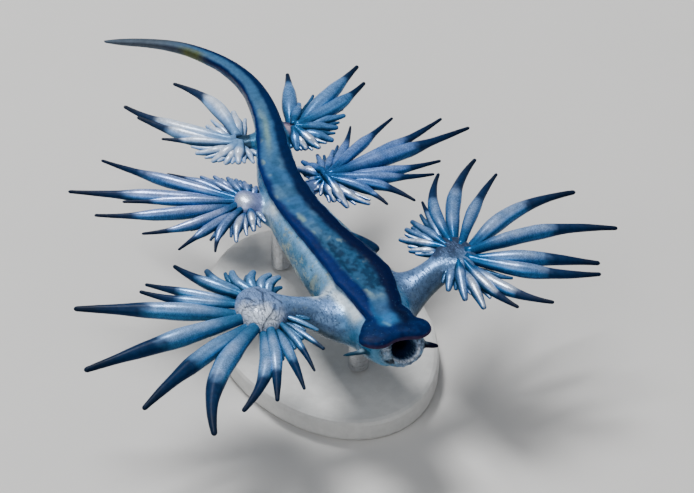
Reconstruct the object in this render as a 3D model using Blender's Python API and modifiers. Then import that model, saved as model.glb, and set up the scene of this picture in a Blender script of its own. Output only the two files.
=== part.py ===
"""Blue dragon sea slug (Glaucus atlanticus), life size, floating belly up on a plain display stand.

The foot faces up, the head points along -Y and the tail along +Y, so the animal's left side is at -X.
Body stations and fan rows are millimetres from the middle of the foot, at the level of its sole. The
specimen's empty lifts that point above the origin, which is the middle of the stand base's underside.
"""

import math
import random

import bmesh
import bpy
import numpy as np
from mathutils import Vector

MM = 0.001
GAP = 0.3

# Stand: an oval plate and two round rods, one under the body and one under the rump.
BASE_LENGTH = 20.0
BASE_WIDTH = 13.5
BASE_THICKNESS = 1.6
BASE_EDGE = 0.3
ROD_DIAMETER = 1.3
SOLE_HEIGHT = 10.0
FOOT_FROM_BASE_MIDDLE = (0.4, -3.0)
ROD_PLACES = {"stand_rod_front": -2.0, "stand_rod_rear": 9.0}

# Foot: a thin sole over the trunk, with a hammer-shaped front.
NECK_Y = -6.3
SOLE_THICKNESS = 0.55
TRUNK_TOP = -SOLE_THICKNESS - GAP
HAMMER = (
    (0.75, NECK_Y), (0.95, -7.2), (1.65, -8.2), (1.45, -9.0), (0.75, -9.3), (-0.1, -9.0), (-0.9, -8.9),
    (-1.6, -9.2), (-2.3, -9.1), (-3.0, -8.2), (-2.5, -7.2), (-1.65, NECK_Y),
)
HAMMER_EDGE = 0.12

# Body from the neck to the tail tip: middle x and y, half width of the body, half width of the foot,
# and the level of the lowest point.
BODY = (
    (-0.10, -7.30, 1.60, 1.20, -3.80),
    (-0.38, -6.20, 1.95, 1.22, -3.95),
    (-0.28, -5.00, 2.20, 1.43, -4.20),
    (-0.15, -3.00, 2.45, 1.78, -4.60),
    (-0.20, -1.20, 2.45, 1.64, -4.60),
    (-0.36, 0.50, 2.35, 1.48, -4.35),
    (-0.64, 3.00, 2.05, 1.37, -3.95),
    (-0.82, 6.00, 1.75, 1.25, -3.40),
    (-0.46, 9.20, 1.40, 1.02, -2.95),
    (0.18, 11.40, 1.15, 0.88, -2.55),
    (0.82, 13.40, 0.98, 0.75, -2.20),
    (1.33, 15.80, 0.82, 0.68, -1.85),
    (1.42, 18.00, 0.68, 0.62, -1.45),
    (0.95, 20.20, 0.57, 0.53, -1.15),
    (0.10, 21.90, 0.50, 0.46, -0.95),
    (-1.15, 23.50, 0.42, 0.38, -0.80),
    (-2.80, 24.70, 0.33, 0.30, -0.64),
    (-5.00, 25.75, 0.21, 0.20, -0.42),
)
ARMPIT_Y = -0.3
WAIST_Y = 5.7
RUMP_Y = 15.0
TAIL_MIDDLE_Y = 18.8
TAIL_TIP_Y = 22.3
# Sections are a half ellipse below and a flatter curve of this power above.
TRUNK_POWER = 3.2
SOLE_POWER = 4.0
TAIL_POWER = 2.6
SECTION_MIDDLE = 0.55

# Head: a bulb under the hammer, turned a little to the left, with a round mouth facing ahead and up.
HEAD_MIDDLE = (-0.05, -7.30, -2.25)
HEAD_RADIUS = 1.6
MOUTH_WAY = (-0.22, -0.87, 0.36)
MOUTH_RADIUS = 0.62
MOUTH_DEPTH = 0.9
LIP_RADIUS = 0.2
LIP_SET_IN = 0.93
# Feelers: root, tip and root radius.
FEELERS = {
    "oral_tentacle_left": ((-1.2, -6.95, -2.1), (-3.35, -6.5, -2.2), 0.3),
    "oral_tentacle_right": ((0.4, -7.3, -2.1), (2.15, -8.5, -2.2), 0.3),
    "rhinophore_left": ((-0.7, -6.0, -3.2), (-0.55, -5.4, -5.3), 0.32),
    "rhinophore_right": ((0.3, -6.0, -3.2), (0.35, -5.4, -5.3), 0.32),
}
TAPER = ((0.0, 1.0), (0.35, 0.9), (0.7, 0.68), (0.95, 0.35))
# A small fold beside the genital opening, on the right flank.
PAPILLA_ROOT = (1.2, 0.8, -1.4)
PAPILLA_TIP = (2.55, 1.5, -1.0)
PAPILLA_RADIUS = 0.42

# Front arms: middle of each section, half width along the body and half height.
ARMS = {
    "arm_front_left": (
        (-1.4, -4.0, -2.4, 2.5, 1.3),
        (-2.8, -3.75, -2.05, 1.95, 1.12),
        (-3.8, -3.15, -1.7, 1.35, 1.0),
        (-4.7, -2.95, -1.45, 1.12, 0.95),
        (-5.35, -2.8, -1.35, 1.1, 0.92),
    ),
    "arm_front_right": (
        (0.7, -3.8, -2.4, 2.3, 1.35),
        (2.0, -3.7, -2.0, 1.95, 1.25),
        (3.0, -3.65, -1.6, 1.35, 1.1),
        (3.9, -3.5, -1.25, 1.1, 0.98),
        (4.5, -3.35, -1.05, 1.08, 0.92),
    ),
}

# Fans of cerata: where the arm starts, the palm's middle, the palm's half sizes, and one row for each
# ceras: place of its root round the palm and heading, both in degrees from +X, length, and sideways bow
# as a share of the length.
FANS = {
    "cerata_front_left": {
        "arm": (-5.65, -2.75, -1.3),
        "palm": (-6.9, -2.2, -1.0),
        "palm_size": (1.55, 2.15, 1.05),
        "rows": (
            (36, 45, 1.7, 0.0), (49, 57, 1.7, 0.0), (62, 83, 1.8, 0.0), (75, 108, 2.3, 0.0),
            (88, 125, 3.2, 0.0), (106, 124, 5.0, 0.04), (128, 139, 5.9, 0.02), (143, 144, 6.0, 0.05),
            (166, 154, 9.9, 0.0), (188, 182, 10.4, 0.0), (209, 206, 9.6, -0.02),
            (228, 232, 9.8, -0.08), (248, 236, 7.2, 0.08), (267, 249, 6.4, 0.02),
            (287, 261, 6.0, 0.0), (300, 271, 4.7, 0.03), (313, 289, 3.6, 0.0), (325, 306, 2.4, 0.0),
        ),
    },
    "cerata_front_right": {
        "arm": (4.8, -3.3, -0.95),
        "palm": (6.0, -3.1, -0.6),
        "palm_size": (1.45, 2.1, 1.0),
        "rows": (
            (148, 146, 1.6, 0.0), (135, 131, 2.4, 0.0), (125, 113, 2.5, 0.0), (115, 99, 2.8, 0.0),
            (103, 80, 4.0, 0.01), (82, 68, 6.5, 0.07), (61, 54, 8.1, 0.06), (34, 47, 7.2, 0.03),
            (6, 15, 8.6, 0.08), (-12, -9, 9.2, 0.06), (-31, -26, 7.5, 0.01), (-51, -31, 7.6, -0.05),
            (-67, -59, 5.7, -0.09), (-86, -73, 4.3, -0.05), (-99, -98, 3.5, 0.0),
            (-116, -108, 2.4, 0.0), (-138, -122, 1.8, 0.0),
        ),
    },
    "cerata_middle_left": {
        "arm": (-1.9, 7.2, -2.0),
        "palm": (-3.3, 8.0, -1.4),
        "palm_size": (0.98, 1.25, 0.8),
        "rows": (
            (28, 58, 1.0, 0.0), (47, 84, 1.2, 0.0), (66, 91, 1.4, 0.0), (83, 95, 1.8, 0.0),
            (97, 108, 2.3, 0.0), (108, 117, 2.9, 0.0), (121, 126, 4.9, -0.03), (137, 129, 9.4, 0.02),
            (146, 150, 10.4, 0.0), (157, 154, 6.9, 0.0), (169, 161, 8.7, 0.04), (183, 178, 6.2, 0.08),
            (200, 202, 5.2, 0.0), (217, 224, 4.1, -0.08), (236, 235, 2.7, -0.05),
            (262, 252, 1.6, 0.0),
        ),
    },
    "cerata_middle_right": {
        "arm": (0.2, 7.9, -2.0),
        "palm": (2.35, 8.3, -1.7),
        "palm_size": (1.35, 1.35, 0.8),
        "rows": (
            (100, 140, 1.3, 0.0), (84, 121, 1.4, 0.0), (71, 80, 1.6, 0.0), (54, 58, 2.2, 0.0),
            (33, 53, 4.9, -0.03), (20, 33, 6.7, 0.0), (4, 17, 8.8, -0.02), (-9, 7, 9.7, -0.02),
            (-21, -7, 6.6, -0.04), (-33, -17, 5.9, -0.03), (-47, -43, 4.9, 0.09), (-60, -55, 3.5, 0.08),
            (-72, -62, 2.6, -0.04), (-86, -85, 1.8, 0.0), (-104, -93, 1.0, 0.0),
        ),
    },
    "cerata_rear_left": {
        "arm": (0.0, 13.1, -1.3),
        "palm": (-1.3, 13.6, -1.2),
        "palm_size": (0.8, 0.95, 0.6),
        "rows": (
            (62, 75, 2.6, 0.0), (86, 102, 6.9, -0.07), (122, 111, 2.1, 0.05), (158, 125, 7.9, 0.06),
            (178, 130, 6.6, 0.04), (192, 146, 4.5, 0.0), (205, 163, 2.4, 0.06), (219, 190, 1.8, 0.03),
            (233, 214, 1.5, 0.0), (250, 241, 1.4, -0.04),
        ),
    },
    "cerata_rear_right": {
        "arm": (1.3, 13.1, -1.3),
        "palm": (2.4, 13.3, -1.2),
        "palm_size": (0.78, 0.95, 0.6),
        "rows": (
            (84, 67, 5.4, 0.0), (58, 56, 2.0, 0.0), (22, 34, 7.2, 0.0), (5, 24, 6.1, -0.05),
            (-10, 2, 3.0, 0.0), (-26, -15, 2.2, 0.0), (-50, -40, 2.0, 0.0), (-74, -73, 1.8, 0.0),
            (-92, -92, 1.3, 0.0), (-114, -105, 1.2, 0.0),
        ),
    },
}
ARM_SHARES = (0.6, 0.65, 0.75)
ARM_HEIGHT_SHARE = 0.85

# Ceras: its half width at the widest grows with its length, and shares of it run from root to tip.
CERAS_HALF_WIDTH = 0.16
CERAS_HALF_WIDTH_PER_LENGTH = 0.047
CERAS_LEAST_HALF_WIDTH = 0.26
CERAS_FLATNESS = 0.8
CERAS_SIDES = 6
CERAS_SUNK = 0.5
CERAS_LONG = 4.0
CERAS_SHARES = ((0.12, 0.72), (0.38, 1.0), (0.62, 0.84), (0.84, 0.52), (0.985, 0.22))
CERAS_SHORT_SHARES = ((0.3, 1.0), (0.65, 0.86), (0.95, 0.42))
CERAS_ROOT_SHARE = 0.6
CERAS_RIM = 0.9
CERAS_STAGGER = 0.16
CERAS_TIP_SPREAD = 0.15
CERAS_SEED = 7

BODY_SIDES = 20
SOLE_SIDES = 14
TAIL_SIDES = 14
ARM_SIDES = 16
FEELER_SIDES = 10
PAPILLA_SIDES = 8
POLE_REACH = 0.6
FINE_ROWS = 400
CUTTER_ROWS = 30
ARM_ROWS = 9
SHORT_ARM_ROWS = 4
SHARP_ANGLE = 45.0

# Colours: navy sole, silvery flanks, steel-blue cerata and head, dark feelers, and the plain stand.
COLOURS = {
    "sole": ((0.02, 0.07, 0.22), 0.35, 0.0),
    "flank": ((0.35, 0.52, 0.60), 0.4, 0.1),
    "cerata": ((0.10, 0.26, 0.42), 0.3, 0.2),
    "head": ((0.20, 0.33, 0.45), 0.35, 0.1),
    "feeler": ((0.04, 0.10, 0.20), 0.35, 0.0),
    "stand": ((0.80, 0.80, 0.78), 0.4, 0.0),
    "rod": ((0.62, 0.63, 0.65), 0.3, 1.0),
}


def material(name):
    """A Principled material of this name's colour, roughness and metallic value."""
    found = bpy.data.materials.get(name)
    if found:
        return found
    colour, roughness, metallic = COLOURS[name]
    made = bpy.data.materials.new(name)
    made.use_nodes = True
    shader = made.node_tree.nodes["Principled BSDF"]
    shader.inputs["Base Color"].default_value = (*colour, 1.0)
    shader.inputs["Roughness"].default_value = roughness
    shader.inputs["Metallic"].default_value = metallic
    return made


def new_object(name, mesh, collection):
    made = bpy.data.objects.new(name, mesh)
    collection.objects.link(made)
    return made


def smooth_row(points, count):
    """This many rows read at even spacing from a smooth curve through the rows of points."""
    points = np.array(points, float)
    steps = np.linalg.norm(np.diff(points[:, :3], axis=0), axis=1)
    at = np.concatenate([[0.0], np.cumsum(steps)])
    slopes = np.gradient(points, at, axis=0)
    where = np.linspace(0.0, at[-1], count)
    left = np.clip(np.searchsorted(at, where, side="right") - 1, 0, len(at) - 2)
    span = (at[left + 1] - at[left])[:, None]
    t = (where[:, None] - at[left][:, None]) / span
    return (
        points[left] * (1 + 2 * t) * (1 - t) ** 2
        + slopes[left] * span * t * (1 - t) ** 2
        + points[left + 1] * t * t * (3 - 2 * t)
        + slopes[left + 1] * span * t * t * (t - 1)
    )


def loft_mesh(name, rings, rounded_end=False):
    """A closed mesh through rings of points in millimetres, with flat caps or a rounded far end."""
    rings = np.array(rings, float) * MM
    count, sides = rings.shape[:2]
    verts = [tuple(point) for ring in rings for point in ring]
    faces = []
    for row in range(count - 1):
        for side in range(sides):
            after = (side + 1) % sides
            low = row * sides
            faces.append((low + side, low + after, low + sides + after, low + sides + side))
    faces.append(tuple(range(sides)))
    last = [(count - 1) * sides + side for side in range(sides)]
    if rounded_end:
        middle = rings[-1].mean(axis=0)
        step = middle - rings[-2].mean(axis=0)
        reach = np.linalg.norm(rings[-1] - middle, axis=1).mean() * POLE_REACH
        verts.append(tuple(middle + step / np.linalg.norm(step) * reach))
        faces += [(last[side], last[(side + 1) % sides], len(verts) - 1) for side in range(sides)]
    else:
        faces.append(tuple(last))
    mesh = bpy.data.meshes.new(name)
    mesh.from_pydata(verts, [], faces)
    work = bmesh.new()
    work.from_mesh(mesh)
    bmesh.ops.recalc_face_normals(work, faces=work.faces)
    bmesh.ops.triangulate(work, faces=[face for face in work.faces if len(face.verts) > 4])
    work.to_mesh(mesh)
    work.free()
    return mesh


def oval(half_width, top, bottom, sides, top_power):
    """Points of a closed section: a half ellipse below and a flatter half of this power above."""
    angle = np.linspace(0.0, 2 * math.pi, sides, endpoint=False) + math.pi / sides
    power = np.where(np.sin(angle) > 0, 2.0 / top_power, 1.0)
    across = half_width * np.sign(np.cos(angle)) * np.abs(np.cos(angle)) ** power
    middle = bottom + (top - bottom) * SECTION_MIDDLE
    height = np.where(np.sin(angle) > 0, top - middle, middle - bottom)
    return across, middle + height * np.sign(np.sin(angle)) * np.abs(np.sin(angle)) ** power


def rings_on_path(path, across_and_up):
    """Rings of points: each section (across, up) set square to a path that runs in plan."""
    path = np.array(path, float)
    along = np.gradient(path[:, :2], axis=0)
    along /= np.linalg.norm(along, axis=1)[:, None]
    rings = []
    for point, way, (across, up) in zip(path, along, across_and_up):
        x = point[0] + way[1] * across
        y = point[1] - way[0] * across
        rings.append(np.stack([x, y, up], axis=1))
    return rings


def body_rows(first_y, last_y, count):
    """Rows of x, y, body half width, foot half width and lowest level, read between two values of y."""
    fine = smooth_row([(x, y, 0.0, width, foot, low) for x, y, width, foot, low in BODY], FINE_ROWS)
    wanted = np.linspace(first_y, last_y, count)
    return [[np.interp(y, fine[:, 1], fine[:, column]) for column in (0, 1, 3, 4, 5)] for y in wanted]


def trunk_length(name, first_y, last_y, count):
    """A length of the body under the sole, between two flat cuts."""
    rows = body_rows(first_y, last_y, count)
    sections = [oval(width, TRUNK_TOP, low, BODY_SIDES, TRUNK_POWER) for _, _, width, _, low in rows]
    return loft_mesh(name, rings_on_path(rows, sections))


def sole_length(name, first_y, last_y, count):
    """A length of the foot's sole: a thin strip with rounded edges and a flat underside."""
    rows = body_rows(first_y, last_y, count)
    sections = []
    for _, _, _, foot, _ in rows:
        across, up = oval(foot, 0.0, -SOLE_THICKNESS, SOLE_SIDES, SOLE_POWER)
        sections.append((across, np.where(up < -SOLE_THICKNESS / 2, -SOLE_THICKNESS, up)))
    return loft_mesh(name, rings_on_path(rows, sections))


def tail_length(name, first_y, last_y, count, rounded_end=False):
    """A length of the tail, whose foot and back are one rounded section."""
    rows = body_rows(first_y, last_y, count)
    sections = [oval(width, 0.0, low, TAIL_SIDES, TAIL_POWER) for _, _, width, _, low in rows]
    return loft_mesh(name, rings_on_path(rows, sections), rounded_end)


def arm_rings(rows, count, grow=0.0):
    """Rings of an arm whose sections stand square to its path, from the smooth curve through rows."""
    smooth = smooth_row(rows, count)
    angle = np.linspace(0.0, 2 * math.pi, ARM_SIDES, endpoint=False)
    sections = [
        ((wide + grow) * np.cos(angle), z + (high + grow) * np.sin(angle))
        for _, _, z, wide, high in smooth
    ]
    return rings_on_path(smooth, sections)


def taper_rings(root, tip, radius, sides):
    """Rings of a straight feeler that narrows toward its tip."""
    root, tip = Vector(root), Vector(tip)
    turn = (tip - root).to_track_quat("Z", "Y")
    rings = []
    for t, share in TAPER:
        ring = []
        for side in range(sides):
            angle = 2 * math.pi * side / sides
            spoke = Vector((math.cos(angle), math.sin(angle), 0.0)) * radius * share
            ring.append(tuple(root.lerp(tip, t) + turn @ spoke))
        rings.append(ring)
    return rings


def ball(name, middle, size, collection, segments=14, rings=8):
    """A closed ellipsoid as an object, in millimetres."""
    mesh = bpy.data.meshes.new(name)
    work = bmesh.new()
    bmesh.ops.create_uvsphere(work, u_segments=segments, v_segments=rings, radius=MM)
    bmesh.ops.scale(work, vec=Vector(size), verts=work.verts)
    bmesh.ops.translate(work, vec=Vector(middle) * MM, verts=work.verts)
    work.to_mesh(mesh)
    work.free()
    return new_object(name, mesh, collection)


def box(name, low, high, collection):
    """A closed box between two corners as an object, in millimetres."""
    (x0, y0, z0), (x1, y1, z1) = low, high
    outline = ((x0, y0), (x1, y0), (x1, y1), (x0, y1))
    rings = [[(x, y, z) for x, y in outline] for z in (z0, z1)]
    return new_object(name, loft_mesh(name, rings), collection)


def apply_boolean(target, operation, collection):
    """Applies one Boolean of a whole collection to the target, then removes the collection's objects."""
    change = target.modifiers.new(operation.lower(), "BOOLEAN")
    change.operation = operation
    change.solver = "EXACT"
    change.operand_type = "COLLECTION"
    change.collection = collection
    bpy.context.view_layer.update()
    graph = bpy.context.evaluated_depsgraph_get()
    mesh = bpy.data.meshes.new_from_object(target.evaluated_get(graph))
    target.modifiers.remove(change)
    target.data = mesh
    for helper in list(collection.objects):
        bpy.data.objects.remove(helper)


def keep_largest(target):
    """Keeps only the largest closed surface of the object's mesh."""
    work = bmesh.new()
    work.from_mesh(target.data)
    bmesh.ops.remove_doubles(work, verts=work.verts, dist=1e-7)
    left = set(work.faces)
    shells = []
    while left:
        shell, waiting = set(), [left.pop()]
        while waiting:
            face = waiting.pop()
            shell.add(face)
            for edge in face.edges:
                for other in edge.link_faces:
                    if other in left:
                        left.discard(other)
                        waiting.append(other)
        shells.append(shell)
    largest = max(shells, key=lambda shell: sum(face.calc_area() for face in shell))
    drop = [face for shell in shells if shell is not largest for face in shell]
    bmesh.ops.delete(work, geom=drop, context="FACES")
    work.to_mesh(target.data)
    work.free()


def finish(target, colour, specimen):
    """Shades a node smooth, gives it its material and hangs it from the specimen's empty."""
    target.data.materials.clear()
    target.data.materials.append(material(colour))
    target.data.shade_smooth()
    target.data.set_sharp_from_angle(angle=math.radians(SHARP_ANGLE))
    target.parent = specimen


def body_cutter(cutters):
    """The outline of the body and head, grown by the gap, which everything on their sides is cut to."""
    rows = body_rows(BODY[0][1], TAIL_TIP_Y, CUTTER_ROWS)
    sections = [oval(width + GAP, GAP, low - GAP, BODY_SIDES, SOLE_POWER) for _, _, width, _, low in rows]
    new_object("body_cutter", loft_mesh("body_cutter", rings_on_path(rows, sections)), cutters)
    ball("head_cutter", HEAD_MIDDLE, [HEAD_RADIUS + GAP] * 3, cutters)


def build_trunk(parts, specimen, cutters):
    """The body in three lengths, with the fold on the right flank joined to the middle one."""
    lengths = {
        "body_front": (NECK_Y, ARMPIT_Y, 9),
        "body_middle": (ARMPIT_Y + GAP, WAIST_Y, 8),
        "body_rear": (WAIST_Y + GAP, RUMP_Y, 12),
    }
    for name, (first, last, count) in lengths.items():
        made = new_object(name, trunk_length(name, first, last, count), parts)
        if name == "body_middle":
            rings = taper_rings(PAPILLA_ROOT, PAPILLA_TIP, PAPILLA_RADIUS, PAPILLA_SIDES)
            new_object("papilla", loft_mesh("papilla", rings, True), cutters)
            apply_boolean(made, "UNION", cutters)
            keep_largest(made)
        finish(made, "flank", specimen)


def build_tail(parts, specimen):
    """The tail in three lengths."""
    lengths = {
        "tail_base": (RUMP_Y + GAP, TAIL_MIDDLE_Y, 6, False),
        "tail_middle": (TAIL_MIDDLE_Y + GAP, TAIL_TIP_Y, 6, False),
        "tail_tip": (TAIL_TIP_Y + GAP, BODY[-1][1], 8, True),
    }
    for name, (first, last, count, is_tip) in lengths.items():
        made = new_object(name, tail_length(name, first, last, count, is_tip), parts)
        finish(made, "sole", specimen)


def build_foot(parts, specimen):
    """The foot's sole: the hammer-shaped front as a flat outline, then two long strips."""
    curve = bpy.data.curves.new("foot_front", "CURVE")
    curve.dimensions = "2D"
    curve.fill_mode = "BOTH"
    curve.resolution_u = 3
    curve.extrude = (SOLE_THICKNESS / 2 - HAMMER_EDGE) * MM
    curve.bevel_depth = HAMMER_EDGE * MM
    curve.bevel_resolution = 1
    curve.offset = -HAMMER_EDGE * MM
    outline = curve.splines.new("BEZIER")
    outline.bezier_points.add(len(HAMMER) - 1)
    outline.use_cyclic_u = True
    for knot, (x, y) in zip(outline.bezier_points, HAMMER):
        knot.co = (x * MM, y * MM, 0.0)
        knot.handle_left_type = knot.handle_right_type = "VECTOR" if y == NECK_Y else "AUTO"
    drawn = new_object("foot_front_outline", curve, parts)
    graph = bpy.context.evaluated_depsgraph_get()
    mesh = bpy.data.meshes.new_from_object(drawn.evaluated_get(graph))
    bpy.data.objects.remove(drawn)
    work = bmesh.new()
    work.from_mesh(mesh)
    bmesh.ops.remove_doubles(work, verts=work.verts, dist=1e-6)
    bmesh.ops.recalc_face_normals(work, faces=work.faces)
    bmesh.ops.translate(work, vec=(0.0, 0.0, -SOLE_THICKNESS / 2 * MM), verts=work.verts)
    work.to_mesh(mesh)
    work.free()
    finish(new_object("foot_front", mesh, parts), "sole", specimen)
    lengths = {
        "foot_middle": (NECK_Y + GAP, WAIST_Y, 13),
        "foot_rear": (WAIST_Y + GAP, RUMP_Y, 11),
    }
    for name, (first, last, count) in lengths.items():
        finish(new_object(name, sole_length(name, first, last, count), parts), "sole", specimen)


def build_head(parts, specimen, cutters):
    """The head: a neck length, a bulb and a lip ring, cut by the mouth, the foot and the body."""
    head = new_object("head", trunk_length("head", BODY[0][1], NECK_Y - GAP, 4), parts)
    ball("bulb", HEAD_MIDDLE, [HEAD_RADIUS] * 3, cutters, 20, 12)
    way = Vector(MOUTH_WAY).normalized()
    mouth = Vector(HEAD_MIDDLE) + way * HEAD_RADIUS * LIP_SET_IN
    bpy.ops.mesh.primitive_torus_add(
        major_radius=(MOUTH_RADIUS + LIP_RADIUS) * MM,
        minor_radius=LIP_RADIUS * MM,
        major_segments=20,
        minor_segments=6,
        location=mouth * MM,
        rotation=way.to_track_quat("Z", "Y").to_euler(),
    )
    lips = bpy.context.object
    for holder in lips.users_collection:
        holder.objects.unlink(lips)
    cutters.objects.link(lips)
    apply_boolean(head, "UNION", cutters)
    ball("mouth", mouth, [MOUTH_RADIUS, MOUTH_DEPTH, MOUTH_RADIUS], cutters)
    reach = 2 * HEAD_RADIUS
    box("above", (-reach, HEAD_MIDDLE[1] - reach, TRUNK_TOP), (reach, NECK_Y, reach), cutters)
    box("behind", (-reach, NECK_Y - GAP, -2 * reach), (reach, NECK_Y + reach, reach), cutters)
    apply_boolean(head, "DIFFERENCE", cutters)
    keep_largest(head)
    finish(head, "head", specimen)


def build_feelers(parts, specimen, cutters):
    """Two oral tentacles beside the mouth and two rhinophores on the back of the neck."""
    for name, (root, tip, radius) in FEELERS.items():
        rings = taper_rings(root, tip, radius, FEELER_SIDES)
        made = new_object(name, loft_mesh(name, rings, True), parts)
        body_cutter(cutters)
        apply_boolean(made, "DIFFERENCE", cutters)
        keep_largest(made)
        finish(made, "feeler", specimen)


def build_arms(parts, specimen, cutters):
    """The two long front arms, each from the flank to the palm of its fan."""
    for name, rows in ARMS.items():
        made = new_object(name, loft_mesh(name, arm_rings(rows, ARM_ROWS)), parts)
        body_cutter(cutters)
        apply_boolean(made, "DIFFERENCE", cutters)
        keep_largest(made)
        finish(made, "flank", specimen)


def ceras(name, fan, row, stagger, tip_rise, collection):
    """One gill finger: narrow at its root in the palm, widest past a third, tapering to a rounded tip."""
    place, heading, length, bow = row
    palm = Vector(fan["palm"])
    wide, deep, _ = fan["palm_size"]
    turn = math.radians(place)
    rim = palm + Vector((wide * math.cos(turn), deep * math.sin(turn), 0.0)) * CERAS_RIM
    spoke = (rim - palm).normalized()
    way = Vector((math.cos(math.radians(heading)), math.sin(math.radians(heading)), 0.0))
    side = Vector((-way.y, way.x, 0.0))
    lift = Vector((0.0, 0.0, 1.0))
    widest = max(CERAS_LEAST_HALF_WIDTH, CERAS_HALF_WIDTH + CERAS_HALF_WIDTH_PER_LENGTH * length)
    shares = CERAS_SHARES if length >= CERAS_LONG else CERAS_SHORT_SHARES
    spots = [(rim - spoke * CERAS_SUNK + lift * stagger, CERAS_ROOT_SHARE)]
    for t, share in shares:
        spot = rim + way * (length * t) + side * (bow * length * math.sin(math.pi * t))
        spots.append((spot + lift * (stagger * (1 - t) + tip_rise * t * t), share))
    rows = [(*spot, widest * share, widest * share * CERAS_FLATNESS) for spot, share in spots]
    angle = np.linspace(0.0, 2 * math.pi, CERAS_SIDES, endpoint=False)
    sections = [(row[3] * np.cos(angle), row[2] + row[4] * np.sin(angle)) for row in rows]
    return new_object(name, loft_mesh(name, rings_on_path(rows, sections), True), collection)


def grow_cerata(name, fan, collection):
    """All the cerata of a fan, each second one a little higher so that neighbours cross cleanly."""
    draw = random.Random(CERAS_SEED)
    for index, row in enumerate(fan["rows"]):
        stagger = CERAS_STAGGER if index % 2 else -CERAS_STAGGER
        tip_rise = draw.uniform(-CERAS_TIP_SPREAD, CERAS_TIP_SPREAD)
        ceras(f"{name}_{index}", fan, row, stagger, tip_rise, collection)


def short_arm(name, fan, collection):
    """The arm from the flank to the middle of the palm."""
    inner, outer = Vector(fan["arm"]), Vector(fan["palm"])
    _, deep, high = fan["palm_size"]
    spots = (inner, inner.lerp(outer, 0.5), outer)
    rows = [(*spot, deep * share, high * ARM_HEIGHT_SHARE) for spot, share in zip(spots, ARM_SHARES)]
    new_object(name, loft_mesh(name, arm_rings(rows, SHORT_ARM_ROWS)), collection)


def arm_cutter(name, collection):
    """A front arm grown by the gap, its far end too."""
    grown = arm_rings(ARMS[name], ARM_ROWS, GAP)
    step = np.array(grown[-1]) - np.array(grown[-2])
    grown.append(np.array(grown[-1]) + step / np.linalg.norm(step.mean(axis=0)) * GAP)
    new_object("arm_cutter", loft_mesh("arm_cutter", grown), collection)


def build_fans(parts, specimen, cutters):
    """Six fans, each a palm on its short arm with its cerata, cut clear of the body and the front arm."""
    for name, fan in FANS.items():
        palm = ball(name, fan["palm"], fan["palm_size"], parts)
        short_arm(name + "_arm", fan, cutters)
        grow_cerata(name, fan, cutters)
        apply_boolean(palm, "UNION", cutters)
        body_cutter(cutters)
        arm = name.replace("cerata", "arm")
        if arm in ARMS:
            arm_cutter(arm, cutters)
        apply_boolean(palm, "DIFFERENCE", cutters)
        keep_largest(palm)
        finish(palm, "cerata", specimen)


def build_base():
    """The oval base plate with its rounded edge."""
    bpy.ops.mesh.primitive_cylinder_add(vertices=48, radius=0.5, depth=1.0)
    base = bpy.context.object
    base.name = "stand_base"
    for vert in base.data.vertices:
        vert.co.x *= BASE_WIDTH * MM
        vert.co.y *= BASE_LENGTH * MM
        vert.co.z = (vert.co.z + 0.5) * BASE_THICKNESS * MM
    edge = base.modifiers.new("edge", "BEVEL")
    edge.width = BASE_EDGE * MM
    edge.segments = 2
    edge.limit_method = "ANGLE"
    base.data.materials.append(material("stand"))
    return base


def build_rod(name, y):
    """A round rod between the base plate and the body above it, a gap short of both."""
    x, _, _, _, low = body_rows(y, y, 1)[0]
    bottom = BASE_THICKNESS + GAP
    top = SOLE_HEIGHT + low - GAP
    place = (x + FOOT_FROM_BASE_MIDDLE[0], y + FOOT_FROM_BASE_MIDDLE[1], (top + bottom) / 2)
    bpy.ops.mesh.primitive_cylinder_add(
        vertices=20,
        radius=ROD_DIAMETER / 2 * MM,
        depth=(top - bottom) * MM,
        location=Vector(place) * MM,
    )
    rod = bpy.context.object
    rod.name = name
    rod.data.materials.append(material("rod"))
    return rod


def build_stand(parts):
    for piece in [build_base()] + [build_rod(name, y) for name, y in ROD_PLACES.items()]:
        for holder in piece.users_collection:
            holder.objects.unlink(piece)
        parts.objects.link(piece)
        piece.data.shade_smooth()
        piece.data.set_sharp_from_angle(angle=math.radians(SHARP_ANGLE))


def main():
    for item in list(bpy.data.objects):
        bpy.data.objects.remove(item)
    parts = bpy.data.collections.new("blue_dragon_sea_slug")
    cutters = bpy.data.collections.new("cutters")
    bpy.context.scene.collection.children.link(parts)
    bpy.context.scene.collection.children.link(cutters)
    specimen = new_object("specimen", None, parts)
    build_trunk(parts, specimen, cutters)
    build_tail(parts, specimen)
    build_foot(parts, specimen)
    build_head(parts, specimen, cutters)
    build_feelers(parts, specimen, cutters)
    build_arms(parts, specimen, cutters)
    build_fans(parts, specimen, cutters)
    build_stand(parts)
    x, y = FOOT_FROM_BASE_MIDDLE
    specimen.location = (x * MM, y * MM, SOLE_HEIGHT * MM)


main()
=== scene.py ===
"""Looks of the blue dragon sea slug (Glaucus atlanticus), floating belly up on its display stand.

Shapes are worked out in millimetres from the middle of the foot, at the level of its sole, with the head
at -Y and the animal's left side at -X, and are set in the world by place(). One skin covers the body,
foot, head, feelers, arms and palms, and each fan of cerata is a piece of its own, rooted in its palm.
"""

import math

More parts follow.
